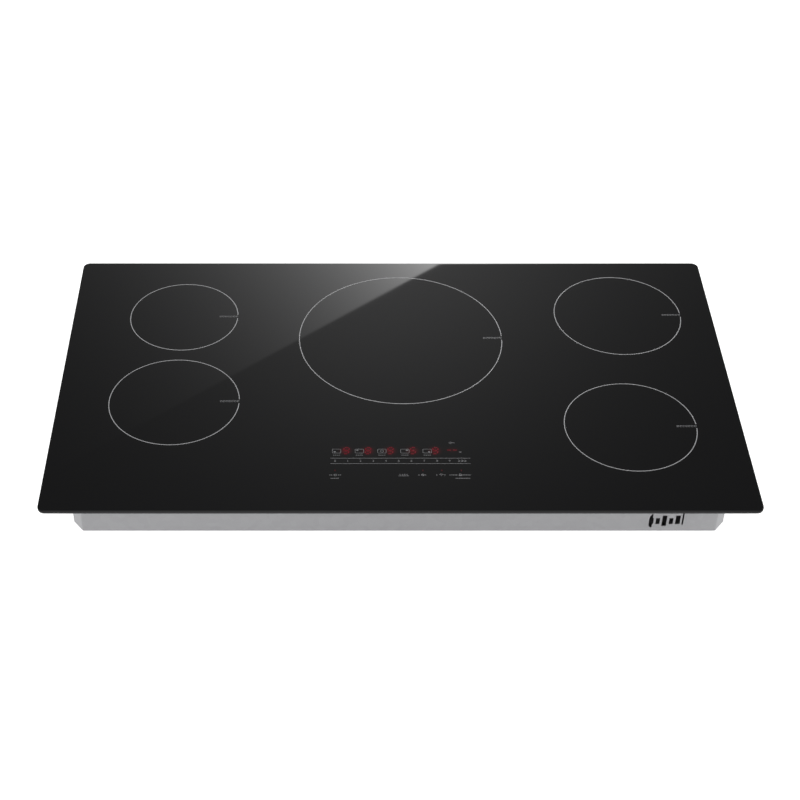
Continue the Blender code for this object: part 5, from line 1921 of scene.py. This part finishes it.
def filterBoard():
    low, high = board["filterCorners"]
    shape = laminate(bmesh.new(), low, high)
    fit(finish("filter_laminate", shape, maskFinish, 30), "circuit_board", "filter_board")
    base, sunk = board["top"], board["top"] - 0.0003
    cases, relays, lugs, cans = bmesh.new(), bmesh.new(), bmesh.new(), bmesh.new()
    busy = []
    for left, front, right, back, tall in mains["cases"]:
        softBox(cases, (left, front, sunk), (right, back, base + tall), 0.0008, 3)
        busy.append((left, front, right, back))
    fit(finish("suppression_capacitors", cases, filmFinish, 30), "black_plastic")
    for left, front, right, back, tall in mains["relays"]:
        softBox(relays, (left, front, sunk), (right, back, base + tall - 0.0004), 0.0006, 2)
        end = (right - 0.002, back - 0.002, base + tall)
        softBox(relays, (left + 0.002, front + 0.002, base + tall - 0.0006), end, 0.0002, 1)
        busy.append((left, front, right, back))
    fit(finish("relays", relays, epoxyFinish, 30), "black_plastic")
    for left, front, right, back, tall, poles in mains["lugs"]:
        softBox(lugs, (left, front, sunk), (right, back, base + tall - 0.001), 0.0006, 2)
        busy.append((left, front, right, back))
        for k in range(poles):
            y = front + (back - front) * (k + 0.5) / poles
            turned(lugs, lugScrew, 20, Matrix.Translation(((left + right) / 2, y, base + tall - 0.0012)))
    fit(finish("filter_terminals", lugs, tinFinish, 30), "zinc_steel")
    core, wire = bmesh.new(), bmesh.new()
    spots, radius, tall, turns = mains["chokes"]
    for x, y in spots:
        toroid(core, wire, (x, y), radius, tall, turns)
        busy.append((x - radius, y - radius, x + radius, y + radius))
    fit(finish("filter_choke_cores", core, ferriteFinish, 40), "ceramic")
    fit(finish("filter_choke_wires", wire, copperFinish, 40), "copper")
    can(cans, *mains["can"])
    busy.append((0.076, 0.133, 0.100, 0.157))
    fit(finish("filter_electrolytic", cans, sleeveFinish, 30), "black_plastic")
    scatterChips("filter_small_parts", low, high, mains["seed"], Matrix(), busy)


def terminalBlock():
    low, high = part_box("terminal_block")
    shape = softBox(bmesh.new(), low, high, 0.0008, 2)
    piece = finish("terminal_block_body", shape, whitePlasticFinish, 30)
    wells, bars = bmesh.new(), bmesh.new()
    for x in entry["wells"]:
        x += entry["x"]
        end = (x + 0.0062, high.y - 0.003, high.z + 0.002)
        softBox(wells, (x - 0.0062, low.y + 0.003, high.z - 0.011), end, 0.0006, 2)
        end = (x + 0.0055, high.y - 0.0038, high.z - 0.0080)
        softBox(bars, (x - 0.0055, low.y + 0.0038, high.z - 0.0112), end, 0.0004, 2)
        for y in (low.y + 0.0085, high.y - 0.0085):
            turned(bars, blockScrew, 24, Matrix.Translation((x, y, high.z - 0.0082)))
    fit(cutAway(piece, wells, 30), "white_plastic", "terminal_block")
    fit(finish("terminal_bars", bars, tinFinish, 30), "zinc_steel")


def wires():
    # three mains wires from the block to the filter
    shape = bmesh.new()
    for k, offset in enumerate(entry["wells"]):
        y = 0.130 + 0.040 * (2.5 - k) / 3
        start = Vector((entry["x"] + offset, 0.1795, 0.0172))
        middle = 0.1755 - 0.0035 - k * 0.005
        points = [
            start, start + Vector((0, -0.0035, 0.0072)), (start.x - 0.004, middle - 0.002, 0.0262),
            (0.150, y + 0.002, 0.0262), (0.137, y, 0.0262), (0.1275, y, 0.0226),
        ]
        tube(shape, smoothLine(points, 7), 0.0014, 10)
    fit(finish("mains_wires", shape, wireFinish, 60), "black_plastic")
    # and a pair from the filter to each power board
    shape = bmesh.new()
    for turn, x, low in ((1, 0.1245, 0.092), (-1, -0.116, 0.120)):
        for k in range(2):
            y, end = low + 0.026 * (k + 0.5) / 2, turn * 0.050 + (k - 0.5) * 0.009
            lane = turn * (0.150 + k * 0.004)
            points = [
                (x + turn * 0.004, y, 0.0145), (x + turn * 0.014, y, 0.0165), (lane, y - 0.016, 0.0210),
                (lane, end + 0.016, 0.0210), (turn * 0.165, end, 0.0180), (turn * 0.1795, end, 0.0150),
            ]
            tube(shape, smoothLine(points, 7), 0.0013, 10)
    fit(finish("supply_wires", shape, wireFinish, 60), "black_plastic")


filterBoard()
terminalBlock()
wires()
print("mains ready")


# Touch control

touch = {
    "centre": (0.002, -0.173),
    "case": (0.230, 0.098),
    "wall": 0.002,
    "low": 0.046,
    "board": (0.218, 0.086),
    "boardLow": 0.0503,
    "boardTop": 0.0519,
    "lensTop": 0.0602,
    "legs": ((-0.090, 0.090), (-0.034, 0.034)),
    "pinTop": 0.0500,
    "ribs": 6,  # fields between the ribs
    "pads": (11, 0.017, (-0.1865, -0.2105)),  # count, pitch, rows
    "digits": (5, 0.030),
}
ribbonSizes = {"y": -0.160, "cores": 11, "pitch": 0.00127, "thick": 0.0005}


def touchTray():
    low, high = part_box("touch_carrier")
    x, y = touch["centre"]
    halfX, halfY = touch["case"][0] / 2, touch["case"][1] / 2
    wall, floor = touch["wall"], touch["low"]
    shape = softBox(bmesh.new(), (x - halfX, y - halfY, floor), (x + halfX, y + halfY, high.z), 0.0008, 3)
    piece = finish("touch_tray", shape, whitePlasticFinish, 30)
    end = (x + halfX - wall, y + halfY - wall, high.z + 0.003)
    cutAway(piece, softBox(bmesh.new(), (x - halfX + wall, y - halfY + wall, floor + wall), end, 0.0006, 2))
    end = (x + halfX + wall, -0.151, high.z + 0.003)
    cutAway(
        piece, softBox(bmesh.new(), (x + halfX - 2 * wall, -0.169, touch["boardLow"]), end, 0.0005, 2), 30,
    )
    shape = opened(piece)
    pinTop = touch["pinTop"]
    leg = [
        (0, low.z), (0.0046, low.z), (0.0050, low.z + 0.0004), (0.0042, floor - 0.004),
        (0.0050, floor + 0.0005), (0, floor + 0.0005),
    ]
    pin = [
        (0, floor + 0.0015), (0.0030, floor + 0.0015), (
            0.0030, pinTop - 0.0004,
        ), (0.0026, pinTop), (0, pinTop),
    ]
    for sx in touch["legs"][0]:
        for sy in touch["legs"][1]:
            turned(shape, leg, 24, Matrix.Translation((x + sx, y + sy, 0)))
            turned(shape, pin, 20, Matrix.Translation((x + sx, y + sy * 0.9, 0)))
    for k in range(1, touch["ribs"]):  # ribs inside the tray's floor
        rib = x - halfX + k * 2 * halfX / touch["ribs"]
        end = (rib + 0.0005, y + halfY - 0.001, floor + 0.0036)
        softBox(shape, (rib - 0.0005, y - halfY + 0.001, floor + 0.0012), end, 0.0002, 1)
    closed(piece, shape, 30)
    fit(piece, "white_plastic", "touch_carrier")


def touchBoard():
    x, y = touch["centre"]
    halfX, halfY = touch["board"][0] / 2, touch["board"][1] / 2
    face = touch["boardTop"]
    outline = filleted(rectangle(x - halfX, y - halfY, x + halfX, y + halfY), 0.002, 4)
    shape = slab(outline, touch["boardLow"], face)
    pad = [(0, face - 0.0002), (0.0030, face - 0.0002), (0.0030, face + 0.0003), (0, face + 0.0003)]
    count, pitch, rows = touch["pads"]
    for k in range(count):  # spring contacts of the slider and the keys
        for row in rows:
            turned(shape, pad, 18, Matrix.Translation((x - 0.085 + k * pitch, row, 0)))
    fit(finish("touch_laminate", shape, maskFinish, 30), "circuit_board", "touch_board")
    sunk, top = face - 0.0003, touch["lensTop"]
    lenses = bmesh.new()
    count, pitch = touch["digits"]
    for i in range(count):
        digit = x - 0.072 + i * pitch
        softBox(lenses, (digit - 0.005, -0.161, sunk), (digit + 0.005, -0.147, top), 0.0003, 1)
    softBox(lenses, (x + 0.061, -0.161, sunk), (x + 0.079, -0.147, top), 0.0003, 1)
    fit(finish("display_lenses", lenses, lensFinish, 30), "black_plastic")
    guides = bmesh.new()
    softBox(guides, (x - 0.090, -0.180, sunk), (x + 0.090, -0.169, top), 0.0004, 2)
    softBox(guides, (x - 0.090, -0.206, sunk), (x + 0.090, -0.190, top), 0.0004, 2)
    fit(finish("light_guides", guides, guideFinish, 30), "white_plastic")
    plug = bmesh.new()
    softBox(plug, (0.0940, -0.168, sunk), (0.1060, -0.152, 0.0535), 0.0003, 1)
    softBox(plug, (0.0940, -0.168, 0.0553), (0.1060, -0.152, 0.0568), 0.0003, 1)
    softBox(plug, (0.0940, -0.168, 0.0530), (0.0985, -0.152, 0.0560), 0.0003, 1)
    fit(finish("ribbon_socket", plug, nylonFinish, 30), "black_plastic")


def ribbon():
    # eleven cores side by side: the section has one ridge for each
    start, end = touch["boardTop"] + 0.0025, board["top"] + 0.0068
    route = [
        (0.1064, start), (0.1220, start), (0.1400, start - 0.004), (0.1500, 0.036),
        (0.1540, 0.023), (0.1620, end + 0.0005), (0.1720, end), (0.1801, end),
    ]
    line = smoothLine([(x, ribbonSizes["y"], z) for x, z in route], 6)
    cores, pitch, thick = ribbonSizes["cores"], ribbonSizes["pitch"], ribbonSizes["thick"]
    section = []
    for k in range(cores * 4 + 1):
        across = (k / 4 - cores / 2) * pitch
        section.append((across, thick * (0.55 + 0.44 * abs(math.sin(math.pi * k / 4)))))
    section = section + [(a, -b) for a, b in section[::-1]]
    rings = []
    for i, point in enumerate(line):
        along = (line[min(i + 1, len(line) - 1)] - line[max(i - 1, 0)]).normalized()
        up = along.cross(Vector((0, 1, 0))).normalized()
        rings.append([point + up * b + Vector((0, a, 0)) for a, b in section])
    fit(finish("ribbon", loft(rings), ribbonFinish, 40), "ribbon", "ribbon_cable")


touchTray()
touchBoard()
ribbon()
print("touch control ready")
